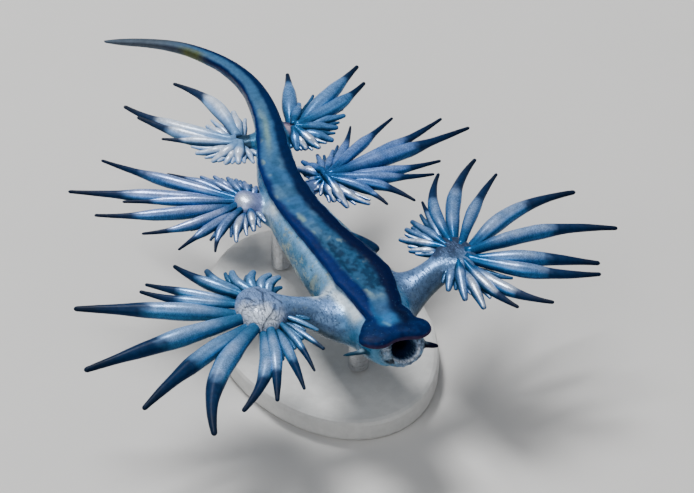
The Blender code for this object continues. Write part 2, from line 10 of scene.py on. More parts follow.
import bpy
import numpy as np
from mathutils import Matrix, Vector


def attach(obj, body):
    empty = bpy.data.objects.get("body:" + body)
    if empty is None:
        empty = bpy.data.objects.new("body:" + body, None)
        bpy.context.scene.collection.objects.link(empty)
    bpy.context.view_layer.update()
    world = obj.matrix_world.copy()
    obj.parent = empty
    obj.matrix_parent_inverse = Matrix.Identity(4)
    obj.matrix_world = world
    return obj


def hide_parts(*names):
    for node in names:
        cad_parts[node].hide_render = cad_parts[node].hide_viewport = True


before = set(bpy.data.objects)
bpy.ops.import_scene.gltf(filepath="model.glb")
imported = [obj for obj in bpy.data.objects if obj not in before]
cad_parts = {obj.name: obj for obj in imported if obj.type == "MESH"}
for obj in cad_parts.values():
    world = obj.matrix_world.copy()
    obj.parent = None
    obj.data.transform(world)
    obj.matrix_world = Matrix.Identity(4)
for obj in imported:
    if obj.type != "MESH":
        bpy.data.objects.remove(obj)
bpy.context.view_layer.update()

MM = 0.001
FOOT_MIDDLE = np.array([0.4, -3.0, 10.0])

# Body from the neck to the tail tip: middle x and y, half width of the body, half width of the foot,
# and the level of the lowest point.
BODY = np.array([
    (-0.10, -7.30, 1.60, 1.20, -3.80),
    (-0.38, -6.20, 1.95, 1.22, -3.95),
    (-0.28, -5.00, 2.20, 1.43, -4.20),
    (-0.15, -3.00, 2.45, 1.80, -4.60),
    (-0.20, -1.20, 2.45, 1.72, -4.60),
    (-0.36, 0.50, 2.35, 1.52, -4.35),
    (-0.64, 3.00, 2.05, 1.38, -3.95),
    (-0.82, 6.00, 1.75, 1.33, -3.40),
    (-0.46, 9.20, 1.40, 1.20, -2.95),
    (0.18, 11.40, 1.15, 1.03, -2.55),
    (0.82, 13.40, 0.98, 0.88, -2.20),
    (1.33, 15.80, 0.82, 0.76, -1.85),
    (1.42, 18.00, 0.68, 0.65, -1.45),
    (0.95, 20.20, 0.57, 0.53, -1.15),
    (0.10, 21.90, 0.50, 0.46, -0.95),
    (-1.15, 23.50, 0.42, 0.38, -0.80),
    (-2.80, 24.70, 0.33, 0.30, -0.64),
    (-4.90, 25.72, 0.20, 0.19, -0.40),
    (-5.60, 25.98, 0.10, 0.10, -0.22),
])
NECK_Y = -6.3
RUMP_Y = 15.0
TRUNK_TOP = -0.3
TRUNK_POWER = 3.0
SOLE_THICKNESS = 0.5
HAMMER = np.array([
    (0.75, NECK_Y), (0.95, -7.2), (1.65, -8.2), (1.45, -9.0), (0.75, -9.3), (-0.1, -9.0), (-0.9, -8.9),
    (-1.6, -9.1), (-2.3, -9.0), (-3.0, -8.2), (-2.5, -7.2), (-1.65, NECK_Y),
])

# Where the navy of the hammer ends to the left and right, as x at each y.
HAMMER_AT = (-9.0, -8.2, -7.2, NECK_Y)
HAMMER_LEFT = (-3.1, -3.1, -2.6, -1.75)
HAMMER_RIGHT = (2.2, 1.8, 1.05, 0.85)

# Head: a bulb whose profile runs from the back of the head over the lips into the mouth, as radius
# and distance ahead of the head's middle.
HEAD_MIDDLE = np.array([0.03, -7.30, -2.08])
HEAD_WIDER, HEAD_LOWER = 1.05, 0.96
MOUTH_WAY = np.array([-0.15, -0.87, 0.43])
HEAD_PROFILE = np.array([
    (0.0, -1.60), (0.80, -1.36), (1.32, -0.80), (1.49, 0.0), (1.45, 0.50), (1.35, 0.90), (1.22, 1.16),
    (1.14, 1.30), (1.04, 1.46), (0.90, 1.50), (0.79, 1.40), (0.73, 1.15), (0.69, 0.80), (0.50, 0.42),
    (0.0, 0.32),
])
LIP_FOLDS = 19
# Feelers: root, tip, radius at the root, and how much thinner the tip is.
FEELERS = {
    "left oral tentacle": ((-1.2, -7.25, -2.2), (-3.42, -6.60, -2.4), 0.21, 0.42),
    "right oral tentacle": ((0.4, -7.35, -2.05), (2.22, -8.55, -2.2), 0.29, 0.42),
    "left rhinophore": ((-0.7, -6.0, -3.2), (-0.5, -4.95, -4.95), 0.32, 0.42),
    "right rhinophore": ((0.3, -6.0, -3.2), (0.4, -4.95, -4.95), 0.32, 0.42),
    "papilla": ((0.6, 1.6, -1.15), (2.42, 0.28, -1.3), 0.80, 0.72),
}

# Front arms: middle of each section, half width along the body and half height.
ARMS = {
    "left": np.array([
        (-1.4, -4.0, -2.3, 2.4, 1.4),
        (-2.6, -3.70, -2.0, 1.85, 1.22),
        (-3.7, -3.10, -1.7, 1.25, 1.05),
        (-4.7, -2.85, -1.4, 1.08, 1.0),
        (-5.9, -2.50, -1.05, 1.15, 1.03),
    ]),
    "right": np.array([
        (0.7, -3.8, -2.4, 2.3, 1.35),
        (2.0, -3.7, -2.0, 1.95, 1.25),
        (3.0, -3.65, -1.6, 1.35, 1.1),
        (3.9, -3.5, -1.25, 1.1, 0.98),
        (5.1, -3.25, -0.85, 1.08, 0.9),
    ]),
}

# Fans of cerata: where the short arm starts, the palm's middle and half sizes, how deep its pit is, how
# far out the roots start as a share of the palm and how much they rise over it, the share of the length
# where the dark tip starts, and one row for each ceras: its place round the palm and heading, both in
# degrees from +X, length beyond the palm's rim, and sideways bow as a share of the length. Widths are
# factors on each row's usual width. The small rows fill the gaps at the roots, and the highlit cerata,
# which get painted highlight streaks, are those whose places lie in the given spans.
FANS = {
    "cerata_front_left": {
        "arm": (-5.65, -2.75, -1.3),
        "palm": (-6.9, -2.2, -1.0),
        "palm_size": (1.55, 2.15, 1.05),
        "pit": 0.1,
        "root": (0.80, -0.12),
        "dark_from": 0.57,
        "whip": 0.06,
        "rows": (
            (36, 40, 1.7, 0.16), (47, 52, 1.8, 0.16), (60, 74, 1.9, 0.14), (72, 100, 2.4, 0.12),
            (86, 118, 3.3, 0.10), (104, 124, 5.0, 0.04), (128, 139, 5.9, 0.02), (143, 144, 6.0, 0.05),
            (166, 154, 9.9, 0.0), (188, 182, 10.4, 0.0), (209, 206, 9.6, -0.02),
            (228, 232, 9.8, -0.08), (248, 236, 7.2, 0.08), (267, 249, 6.4, 0.02),
            (287, 261, 6.0, 0.0), (300, 271, 4.7, 0.03), (313, 289, 3.6, 0.0), (325, 306, 2.4, 0.0),
        ),
        "widths": (1.15, 1.15, 1.2, 1.25, 1.25, 1.1, 0.9, 0.9, 1.0, 1.0, 1.0, 1.05, 1.0, 0.95, 0.8,
                   0.72, 0.72, 0.68),
        "small": (
            (30, 30, 1.2, 0.16), (42, 46, 1.4, 0.14), (54, 62, 1.5, 0.14), (66, 86, 1.7, 0.12),
            (79, 108, 2.4, 0.1), (95, 120, 3.0, 0.06), (116, 130, 2.4, 0), (277, 256, 2.8, 0),
            (294, 268, 2.4, 0.02), (307, 282, 2.1, 0), (319, 297, 1.7, 0), (334, 318, 1.7, 0),
            (345, 338, 1.4, 0.05), (355, 358, 1, 0),
        ),
        "highlit": (),
    },
    "cerata_front_right": {
        "arm": (4.8, -3.3, -0.95),
        "palm": (6.0, -3.1, -0.6),
        "palm_size": (1.4, 2.0, 1.0),
        "pit": 0.6,
        "root": (0.66, 0.20),
        "dark_from": 0.58,
        "whip": 0.12,
        "rows": (
            (148, 146, 1.6, 0.0), (135, 131, 2.4, 0.0), (125, 113, 2.5, 0.0), (115, 99, 2.8, 0.0),
            (103, 80, 4.0, 0.01), (82, 68, 6.5, 0.07), (61, 54, 8.1, 0.06), (34, 47, 7.2, 0.03),
            (6, 15, 8.6, 0.08), (-12, -9, 9.2, 0.06), (-31, -26, 7.5, 0.01), (-51, -31, 7.6, -0.05),
            (-67, -59, 5.7, -0.09), (-86, -73, 4.3, -0.05), (-99, -98, 3.5, 0.0),
            (-116, -108, 2.4, 0.0), (-138, -122, 1.8, 0.0),
        ),
        "widths": (1.1, 1.1, 1.1, 1.1, 0.85, 0.85, 0.88, 0.8, 1.0, 0.92, 1.1, 1.0, 1.05, 1.1, 1.25, 1.2, 1.1),
        "small": (
            (154, 152, 1.2, 0), (142, 139, 1.7, 0), (130, 122, 2.2, 0), (120, 106, 2.3, 0),
            (108, 88, 2.8, 0), (-59, -48, 2.4, -0.05), (-76, -66, 3.2, -0.05), (-92, -85, 2.6, 0),
            (-107, -103, 2, 0), (-127, -115, 1.5, 0), (-150, -130, 1.1, 0),
        ),
        "highlit": ((128, 160), (-112, -60)),
    },
    "cerata_middle_left": {
        "arm": (-1.9, 7.2, -2.0),
        "palm": (-3.3, 8.0, -1.4),
        "palm_size": (0.98, 1.25, 0.8),
        "pit": 0.0,
        "root": (0.72, 0.0),
        "dark_from": 0.68,
        "whip": 0.28,
        "rows": (
            (28, 58, 1.0, 0.0), (47, 84, 1.2, 0.0), (66, 91, 1.4, 0.0), (83, 95, 1.8, 0.0),
            (97, 108, 2.3, 0.0), (108, 117, 2.9, 0.0), (121, 126, 4.9, -0.03), (137, 129, 9.4, 0.02),
            (146, 150, 10.4, 0.0), (157, 154, 6.9, 0.0), (169, 161, 8.7, 0.04), (183, 178, 6.2, 0.08),
            (200, 202, 5.2, 0.0), (217, 224, 4.1, -0.08), (236, 235, 2.7, -0.05),
            (262, 252, 1.6, 0.0),
        ),
        "widths": (1.0, 1.0, 1.0, 1.0, 1.0, 1.0, 0.9, 0.8, 0.85, 0.85, 0.85, 0.9, 0.95, 1.0, 1.1, 1.1),
        "small": (
            (36, 70, 1.1, 0), (56, 87, 1.3, 0), (74, 93, 1.6, 0), (90, 101, 2, 0), (103, 113, 2.4, 0),
            (114, 121, 3.2, 0), (192, 190, 3.4, 0.05), (208, 213, 3.2, -0.03), (226, 229, 2.4, -0.06),
            (249, 244, 1.9, -0.04), (275, 262, 1.4, 0), (290, 276, 1.1, 0),
        ),
        "highlit": ((228, 300),),
    },
    "cerata_middle_right": {
        "arm": (0.2, 7.9, -2.0),
        "palm": (2.35, 8.3, -1.7),
        "palm_size": (1.25, 1.3, 0.62),
        "share": 0.68,
        "pit": 0.2,
        "root": (0.36, 0.30),
        "dark_from": 0.64,
        "whip": 0.28,
        "rows": (
            (100, 140, 1.3, 0.0), (84, 121, 1.4, 0.0), (71, 80, 1.6, 0.0), (54, 58, 2.2, 0.0),
            (33, 53, 4.9, -0.03), (20, 33, 6.7, 0.0), (4, 17, 8.8, -0.02), (-9, 7, 9.7, -0.02),
            (-21, -7, 6.6, -0.04), (-33, -17, 5.9, -0.03), (-47, -43, 4.9, 0.09), (-60, -55, 3.5, 0.08),
            (-72, -62, 2.6, -0.04), (-86, -85, 1.8, 0.0), (-104, -93, 1.0, 0.0),
        ),
        "widths": (1.4, 1.2, 1.0, 0.9, 0.85, 0.85, 0.85, 0.9, 0.95, 0.95, 1.05, 1.1, 1.2, 1.3, 1.4),
        "small": (
            (114, 140, 0.3, 0), (133, 150, 0.2, 0), (152, 160, 0.15, 0), (172, 172, 0.1, 0),
            (193, 190, 0.1, 0), (213, 208, 0.15, 0), (233, 228, 0.3, 0), (92, 130, 0.9, 0),
            (62, 70, 1.6, 0), (44, 56, 2.6, 0),
            (-54, -49, 3, 0.05), (-66, -58, 2.4, 0), (-79, -73, 1.9, 0), (-95, -89, 1.3, 0),
            (-115, -100, 1, 0),
        ),
        "highlit": ((88, 240), (-120, -64)),
    },
    "cerata_rear_left": {
        "arm": (0.0, 13.1, -1.3),
        "palm": (-1.3, 13.6, -1.2),
        "palm_size": (0.8, 0.95, 0.6),
        "pit": 0.5,
        "root": (0.78, 0.12),
        "dark_from": 0.62,
        "whip": 0.22,
        "rows": (
            (62, 75, 2.6, 0.0), (86, 102, 6.9, -0.07), (122, 111, 2.1, 0.05), (158, 125, 7.9, 0.06),
            (178, 130, 6.6, 0.04), (192, 146, 4.5, 0.0), (205, 163, 2.4, 0.06), (219, 190, 1.8, 0.03),
            (233, 214, 1.5, 0.0), (250, 241, 1.4, -0.04),
        ),
        "widths": (1.3, 1.05, 1.1, 1.0, 1.1, 1.0, 1.2, 1.3, 1.3, 1.3),
        "small": (
            (45, 60, 1.7, 0), (74, 88, 2, 0), (100, 105, 2.2, 0), (140, 120, 2.6, 0.04),
            (168, 128, 3.6, 0.03), (186, 140, 3.3, 0), (199, 155, 2.6, 0.04), (212, 178, 2, 0.04),
            (226, 203, 1.7, 0), (242, 228, 1.5, 0), (262, 250, 1.4, 0), (280, 268, 1.3, 0),
            (300, 285, 1.2, 0),
        ),
        "highlit": ((0, 360),),
    },
    "cerata_rear_right": {
        "arm": (1.3, 13.1, -1.3),
        "palm": (2.4, 13.3, -1.2),
        "palm_size": (0.78, 0.95, 0.6),
        "pit": 0.4,
        "root": (0.66, 0.18),
        "dark_from": 0.70,
        "whip": 0.22,
        "rows": (
            (84, 67, 5.4, 0.0), (58, 56, 2.0, 0.0), (22, 34, 7.2, 0.0), (5, 24, 6.1, -0.05),
            (-10, 2, 3.0, 0.0), (-26, -15, 2.2, 0.0), (-50, -40, 2.0, 0.0), (-74, -73, 1.8, 0.0),
            (-92, -92, 1.3, 0.0), (-114, -105, 1.2, 0.0),
        ),
        "widths": (1.25, 1.2, 1.15, 1.15, 1.2, 1.3, 1.3, 1.3, 1.3, 1.2),
        "small": (
            (70, 62, 2.2, 0), (38, 46, 3, 0), (13, 28, 3.6, 0), (-2, 12, 3.2, 0), (-18, -6, 2.4, 0),
            (-38, -28, 2, 0), (-62, -56, 1.8, 0), (-84, -82, 1.5, 0), (-104, -98, 1.2, 0),
            (-130, -115, 1, 0),
        ),
        "highlit": ((-104, -60),),
    },
}

# Ceras: half width at the widest, which grows with its length, and its section and root.
CERAS_HALF_WIDTH = 0.16
CERAS_HALF_WIDTH_PER_LENGTH = 0.047
CERAS_LEAST_HALF_WIDTH = 0.33
CERAS_FLATNESS = 0.8
CERAS_RIM = 0.9
CERAS_SUNK = 0.45
CERAS_STAGGER = 0.16
CERAS_SIDES = 20
SMALL_WIDTH = 0.78
SMALL_DROP = 0.22
CERAS_RINGS = 34
# Share of the widest half width at shares of the length, for long and short cerata.
CERAS_LONG_SHAPE = (
    (-0.1, 0.0, 0.06, 0.12, 0.20, 0.28, 0.38, 0.46, 0.54, 0.62, 0.70, 0.78, 0.86, 0.94, 1.0),
    (0.56, 0.60, 0.65, 0.73, 0.86, 0.95, 1.0, 0.98, 0.92, 0.82, 0.70, 0.58, 0.46, 0.36, 0.30),
)
CERAS_SHORT_SHAPE = (
    (-0.3, 0.0, 0.12, 0.28, 0.42, 0.56, 0.70, 0.84, 0.94, 1.0),
    (0.60, 0.66, 0.84, 0.98, 1.0, 0.95, 0.84, 0.66, 0.52, 0.45),
)

SKIN_VOXEL = 0.083
SKIN_ROUNDS = 6
WEB_ROUNDS = 160

# Long cracks across the front left palm, in plan.
PALM_CRACKS = (
    ((-7.45, -3.95), (-6.65, -3.55)), ((-6.65, -3.55), (-6.2, -2.95)), ((-7.0, -3.3), (-6.5, -1.8)),
    ((-6.5, -1.8), (-6.65, -1.1)), ((-7.9, -2.3), (-7.2, -2.7)), ((-7.6, -1.6), (-7.2, -2.3)),
    ((-6.1, -2.0), (-5.7, -2.9)),
)

# The foot's stripe: y, middle and half width as shares of the foot's half width.
STRIPE = (
    (-7.6, -0.46, 0.50), (-6.4, -0.16, 0.48), (-5.4, -0.02, 0.42), (-4.5, 0.04, 0.38), (-3.3, -0.04, 0.40),
    (-0.8, -0.08, 0.48), (1.3, -0.10, 0.42),
    (3.6, -0.14, 0.45), (5.8, -0.26, 0.50), (7.6, -0.14, 0.50), (9.5, -0.26, 0.56), (13.2, -0.22, 0.50),
    (15.1, -0.34, 0.46), (26.0, -0.15, 0.60),
)

# Colours, as linear red, green and blue.
INK = (0.0004, 0.002, 0.014)
BAND_INK = (0.0003, 0.0045, 0.036)
BAND_NAVY = (0.0003, 0.014, 0.068)
NAVY = (0.0006, 0.007, 0.045)
ULTRAMARINE = (0.0002, 0.018, 0.135)
STEEL = (0.035, 0.130, 0.298)
CREAM = (0.48, 0.54, 0.42)
OLIVE = (0.11, 0.13, 0.025)
GLOW = (0.032, 0.165, 0.41)
SPARK = (0.20, 0.50, 0.72)
TAIL_BLUE = (0.04, 0.13, 0.27)
TAIL_GREY = (0.075, 0.095, 0.12)
TIP_BLUE = (0.001, 0.016, 0.062)
TIP_INK = (0.0005, 0.004, 0.018)
MAROON = (0.040, 0.022, 0.060)
FLANK_BLUE = (0.025, 0.15, 0.33)
FLANK = (0.024, 0.15, 0.285)
FLANK_PALE_AND_SHEEN = (0.29, 0.62, 1.0)
FLANK_LOW = (0.025, 0.11, 0.19)
SILVER = (0.42, 0.47, 0.53)
# Pearl white, used for painted highlights on the palms, the lips and the cerata.
PEARL_HIGHLIGHT = (0.74, 0.83, 0.98)
LIT_LILAC = np.array((0.20, 0.37, 0.72))
SHADED_ARM_GREY = (0.045, 0.075, 0.11)
CHARCOAL = (0.012, 0.018, 0.028)
STRIPE_LIGHT = (0.080, 0.190, 0.325)
STRIPE_DARK = (0.012, 0.070, 0.165)
STRIPE_GREEN = (0.20, 0.36, 0.36)
STRIPE_PALE = (0.28, 0.44, 0.42)
BLOTCH_BLUE = (0.020, 0.085, 0.180)
BLOTCH_DARK = (0.004, 0.026, 0.070)
BLOTCH_PALE = (0.22, 0.34, 0.36)
NECK_BLUE = (0.030, 0.100, 0.235)
NECK_EDGE = (0.006, 0.10, 0.27)
FLANK_SHADE = (0.02, 0.12, 0.24)
FLANK_CREAM = (0.33, 0.38, 0.30)
WEB_WHITE_HIGHLIGHT = (0.74, 0.89, 1.0)
PALM_LIGHT = (0.12, 0.23, 0.44)
KNOB_ROSE = (0.70, 0.55, 0.68)
HEAD_BLUE = (0.11, 0.27, 0.43)
LIP_BLUE = (0.25, 0.37, 0.56)
CHEEK_BLUE = (0.09, 0.26, 0.43)
BEAD_SILVER = (0.42, 0.52, 0.60)
THROAT_BLUE = (0.004, 0.022, 0.075)
THROAT_GREY = (0.05, 0.08, 0.13)
RAY_BLUE = (0.20, 0.36, 0.55)
TAIL_SIDE = (0.01, 0.05, 0.13)
PAD_INK = (0.0005, 0.010, 0.060)
PAD_NAVY = (0.002, 0.020, 0.092)
FEELER_PATCH = (0.30, 0.48, 0.62)
CERAS_GAP_SHADE = (0.003, 0.026, 0.055)
CERAS_SPECK = (0.012, 0.035, 0.06)
MOTTLE_DARK = (0.02, 0.08, 0.13)
HAIR_DARK = (0.04, 0.08, 0.16)
SPECK_BLUE = (0.10, 0.28, 0.50)
FEELER_COLOURS = {
    "left oral tentacle": (0.010, 0.045, 0.085),
    "right oral tentacle": INK,
    "left rhinophore": INK,
    "right rhinophore": INK,
    "papilla": (0.006, 0.028, 0.080),
}
PALM_COLOURS = {
    "cerata_front_left": (0.19, 0.31, 0.58),
    "cerata_front_right": (0.045, 0.075, 0.15),
    "cerata_middle_left": (0.24, 0.31, 0.60),
    "cerata_middle_right": (0.12, 0.20, 0.42),
    # The rear left palm is dark as painted shade among its cerata.
    "cerata_rear_left": (0.02, 0.05, 0.09),
    "cerata_rear_right": (0.05, 0.05, 0.11),
}
# How strongly the fine cracks show on each palm.
PALM_CRACKING = {
    "cerata_front_left": 0.8,
    "cerata_front_right": 0.45,
    "cerata_middle_left": 0.12,
    "cerata_middle_right": 0.12,
    "cerata_rear_left": 0.12,
    "cerata_rear_right": 0.12,
}
# Cerata of each fan: colour of the blade, of the ridge on top, which is partly painted highlight, and of the
# underside's edge, which is painted shade.
CERAS_COLOURS = {
    "cerata_front_left": ((0.045, 0.225, 0.49), (0.36, 0.56, 0.95), (0.020, 0.105, 0.23)),
    "cerata_front_right": ((0.020, 0.16, 0.43), (0.44, 0.62, 0.98), (0.006, 0.055, 0.16)),
    "cerata_middle_left": ((0.04, 0.17, 0.44), (0.48, 0.59, 0.98), (0.006, 0.055, 0.15)),
    "cerata_middle_right": ((0.03, 0.15, 0.44), (0.30, 0.48, 0.98), (0.006, 0.055, 0.15)),
    "cerata_rear_left": ((0.27, 0.50, 0.90), (0.78, 0.88, 1.0), (0.03, 0.13, 0.24)),
    "cerata_rear_right": ((0.035, 0.18, 0.45), (0.22, 0.45, 0.88), (0.006, 0.070, 0.18)),
}
# Metal shine of each fan's blades, and how far the dark specks show at their roots.
CERAS_SHINE = {
    "cerata_front_left": 0.40,
    "cerata_front_right": 0.45,
    "cerata_middle_left": 0.45,
    "cerata_middle_right": 0.45,
    "cerata_rear_left": 0.15,
    "cerata_rear_right": 0.45,
}
CERAS_SPECKLES = dict.fromkeys(CERAS_SHINE, 0.35) | {"cerata_front_left": 1.0}


# Small tools for shapes.


def smooth_row(points, count):
    """This many rows at even spacing on the smooth curve through the rows: cubic pieces whose slope at
    each row is the slope of its neighbours."""
    points = np.asarray(points, float)
    at = np.concatenate([[0.0], np.cumsum(np.linalg.norm(np.diff(points[:, :2], axis=0), axis=1))])
    slopes = np.gradient(points, at, axis=0)
    where = np.linspace(0.0, at[-1], count)
    left = np.clip(np.searchsorted(at, where, side="right") - 1, 0, len(at) - 2)
    span = (at[left + 1] - at[left])[:, None]
    t = (where[:, None] - at[left][:, None]) / span
    return (
        points[left] * (1 + 2 * t) * (1 - t) ** 2
        + slopes[left] * span * t * (1 - t) ** 2
        + points[left + 1] * t * t * (3 - 2 * t)
        + slopes[left + 1] * span * t * t * (t - 1)
    )


def angles(count):
    """This many angles at even steps round a circle."""
    return np.linspace(0.0, 2 * math.pi, count, endpoint=False)


def step(value, low, high):
    """0 below low, 1 above high, and a smooth S between them."""
    t = np.clip((value - low) / (high - low), 0.0, 1.0)
    return t * t * (3 - 2 * t)


def mix(first, second, share):
    """Colours between first and second, by a share for each point."""
    share = np.asarray(share)[..., None]
    return np.asarray(first) * (1 - share) + np.asarray(second) * share


def grain(points, cell, seed):
    """Smooth noise from 0 to 1: a random value at each corner of a cubic lattice, blended between the
    corners of the cell that holds the point."""
    places = points / cell
    low = np.floor(places).astype(np.int64)
    t = places - low
    t = t * t * (3 - 2 * t)
    total = np.zeros(len(points))
    for corner in np.ndindex(2, 2, 2):
        at = low + np.array(corner)
        mixed = at[:, 0] * 73856093 ^ at[:, 1] * 19349663 ^ at[:, 2] * 83492791 ^ seed * 2654435761
        mixed = (mixed ^ (mixed >> 13)) * 1274126177 & 0x7FFFFFFF
        value = ((mixed ^ (mixed >> 16)) & 0xFFFF) / 65535.0
        weight = np.prod(np.where(np.array(corner), t, 1 - t), axis=1)
        total += value * weight
    return total


def tubes(rings):
    """Points and faces of closed tubes: rings has one row of rings for each tube, and each end of a tube
    closes in a fan of triangles on its first and last point, which is the ring's middle."""
    count, rows, sides = rings.shape[:3]
    ends = np.stack([rings[:, 0].mean(axis=1), rings[:, -1].mean(axis=1)], axis=1)
    points = np.concatenate([rings.reshape(count, -1, 3), ends], axis=1)
    row, side = np.meshgrid(np.arange(rows - 1), np.arange(sides), indexing="ij")
    after = (side + 1) % sides
    low = row * sides
    quads = np.stack([low + side, low + sides + side, low + sides + after, low + after], axis=-1)
    quads = quads.reshape(-1, 4)
    around = np.arange(sides)
    first = np.stack([around, (around + 1) % sides, np.full(sides, rows * sides)], axis=1)
    last = np.stack([(around + 1) % sides, around, np.full(sides, rows * sides + 1)], axis=1)
    last[:, :2] += (rows - 1) * sides
    shift = (np.arange(count) * points.shape[1])[:, None, None]
    quads = (quads[None] + shift).reshape(-1, 4)
    triangles = (np.concatenate([first, last])[None] + shift).reshape(-1, 3)
    return points.reshape(-1, 3), quads.tolist() + triangles.tolist()


def joined(shapes):
    """One list of points and one of faces from several."""
    points, faces, shift = [], [], 0
    for shape_points, shape_faces in shapes:
        points.append(shape_points)
        faces += [[corner + shift for corner in face] for face in shape_faces]
        shift += len(shape_points)
    return np.concatenate(points), faces


def across_path(path, across, up):
    """Rings set square to a path in plan: each ring's points lie across it and at levels of their own."""
    along = np.gradient(path[:, :2], axis=0)
    along /= np.linalg.norm(along, axis=1)[:, None]
    x = path[:, :1] + along[:, 1:] * across
    y = path[:, 1:2] - along[:, :1] * across
    return np.stack([x, y, up], axis=-1)[None]


def axes_of(way):
    """Two unit vectors square to a way and to each other, the first one level."""
    way = np.asarray(way) / np.linalg.norm(way)
    level = np.cross(way, (0.0, 0.0, 1.0))
    level /= np.linalg.norm(level)
    return way, level, np.cross(level, way)


# The skin's shapes, in millimetres.


def trunk(rows, sides=64):
    """The body under the foot: a half ellipse below and a squarer half above, along the body's path."""
    path = smooth_row(rows, 160)
    _, y, width, _, low = path.T
    top = TRUNK_TOP * (1 - step(y, RUMP_Y - 3, RUMP_Y + 2)) - 0.05
    angle = angles(sides)
    power = np.where(np.sin(angle) > 0, 2.0 / TRUNK_POWER, 1.0)
    round_across = np.sign(np.cos(angle)) * np.abs(np.cos(angle)) ** power
    round_up = np.sign(np.sin(angle)) * np.abs(np.sin(angle)) ** power
    middle = low + (top - low) * 0.55
    above = (top - middle)[:, None] * np.clip(round_up, 0, None)
    below = (middle - low)[:, None] * np.clip(round_up, None, 0)
    return tubes(across_path(path, width[:, None] * round_across, middle[:, None] + above + below))


def foot_shift(y):
    """How far the foot's middle lies to the right of the body's path."""
    return -0.10 * step(y, -4.0, 1.0)


def sole(rows, sides=48):
    """The foot's sole: a thin strip whose half width is the foot's, thinner toward its edges, which
    wander a little, with a shallow furrow on each side of the middle band."""
    path = smooth_row(rows, 260)
    _, y, _, foot, low = path.T
    angle = angles(sides)
    share = np.sign(np.cos(angle)) * np.abs(np.cos(angle)) ** 0.55
    wander = 1 + 0.018 * np.sin(y * 2.1 + 0.4) + 0.014 * np.sin(y * 4.7 + 1.0)
    across = (foot * wander)[:, None] * share + foot_shift(y)[:, None]
    thick = np.minimum(SOLE_THICKNESS, -0.5 * low)[:, None]
    lens = np.sign(np.sin(angle)) * np.abs(np.sin(angle)) ** 0.75
    furrows = np.exp(-((share + 0.36) / 0.07) ** 2) + np.exp(-((share - 0.42) / 0.07) ** 2)
    front = (1 - step(y, 6.0, 13.0))[:, None]
    up = thick * (lens - 1) / 2 - np.where(np.sin(angle) > 0, furrows, 0.0) * 0.05 * front
    return tubes(across_path(path, across, up))


def hammer(sides=120, rows=40):
    """The hammer-shaped front of the foot: a pad whose outline shrinks to its middle as the level goes
    from the underside over the rounded edge to the top."""
    closed = np.concatenate([HAMMER[-2:], HAMMER, HAMMER[:3]])
    outline = smooth_row(closed, 1 + sides * 2)
    gap = np.linalg.norm(outline - HAMMER[0], axis=1)
    start = int(np.argmin(gap[: sides]))
    lap = int(np.argmin(gap[sides:])) + sides
    outline = outline[np.linspace(start, lap, sides, endpoint=False).astype(int)]
    middle = np.array([-0.65, -8.0])
    turn = np.linspace(-math.pi / 2 + 0.05, math.pi / 2 - 0.05, rows)
    reach = np.cos(turn)[:, None, None] ** 0.45
    flat = middle + (outline[None] - middle) * reach
    level = np.sin(turn)[:, None] * 0.33 - 0.33 + 0.05 * (1 - reach[:, :, 0])
    return tubes(np.concatenate([flat, np.broadcast_to(level, flat.shape[:2])[..., None]], axis=2)[None])


def head(sides=96):
    """The head: its profile turned about the mouth's way, with small folds round the lips."""
    profile = smooth_row(HEAD_PROFILE, 90)[1:-1]
    way, level, upright = axes_of(MOUTH_WAY)
    angle = angles(sides)
    lips = np.exp(-((profile[:, 0] - 0.95) / 0.25) ** 2) * step(profile[:, 1], 0.7, 1.2)
    folds = 0.07 * np.cos(LIP_FOLDS * angle + 0.6 * np.sin(3 * angle)) + 0.04 * np.cos(5 * angle + 1)
    folds = lips[:, None] * folds
    radius = profile[:, :1] * (1 + folds)
    ahead = profile[:, 1:] + folds * 0.8
    rings = (
        HEAD_MIDDLE
        + ahead[..., None] * way
        + (radius * HEAD_WIDER * np.cos(angle))[..., None] * level
        + (radius * HEAD_LOWER * np.sin(angle))[..., None] * upright
    )
    return tubes(rings[None])


def feeler(root, tip, radius, taper, sides=20, rows=24):
    """A straight feeler, whose radius falls with a power of the way to its rounded tip."""
    root, tip = np.array(root), np.array(tip)
    _, level, upright = axes_of(tip - root)
    t = np.linspace(0.0, 1.0, rows)[:, None]
    angle = angles(sides)
    wide = radius * (1 - taper * t**1.5) * np.sqrt(1 - (t * 0.995) ** 14)
    middle = root + (tip - root) * t
    spokes = np.cos(angle)[:, None] * level + np.sin(angle)[:, None] * upright
    return tubes((middle[:, None] + wide[..., None] * spokes)[None])


def arm(rows, sides=40, count=50):
    """An arm: ellipses square to the smooth curve through its rows."""
    path = smooth_row(rows, count)
    angle = angles(sides)
    across = path[:, 3:4] * np.cos(angle)
    up = path[:, 2:3] + path[:, 4:5] * np.sin(angle)
    return tubes(across_path(path, across, up))


def short_arm(fan):
    """The arm of a rear fan, from the flank to the middle of its palm."""
    inner, outer = np.array(fan["arm"]), np.array(fan["palm"])
    _, deep, high = fan["palm_size"]
    spots = np.linspace(inner, outer, 3)
    sizes = np.array([(1.0, 1.05), (0.78, 0.95), (0.8, 0.9)]) * (deep, high) * fan.get("share", 1.0)
    return arm(np.concatenate([spots, sizes], axis=1))


def palm(fan, sides=64, rows=48):
    """A palm: an ellipsoid with a pit pressed into the middle of its top."""
    turn = np.linspace(-math.pi / 2 + 0.03, math.pi / 2 - 0.03, rows)[:, None]
    angle = angles(sides)
    wide, deep, high = np.array(fan["palm_size"]) * fan.get("share", 1.0)
    reach = np.cos(turn) ** 0.65
    pit = fan["pit"] * np.exp(-((reach / 0.6) ** 2)) * (turn > 0)
    level = high * np.sin(turn) - pit * np.ones_like(angle)
    ring = np.stack([wide * reach * np.cos(angle), deep * reach * np.sin(angle), level], axis=-1)
    return tubes((np.array(fan["palm"]) + ring)[None])


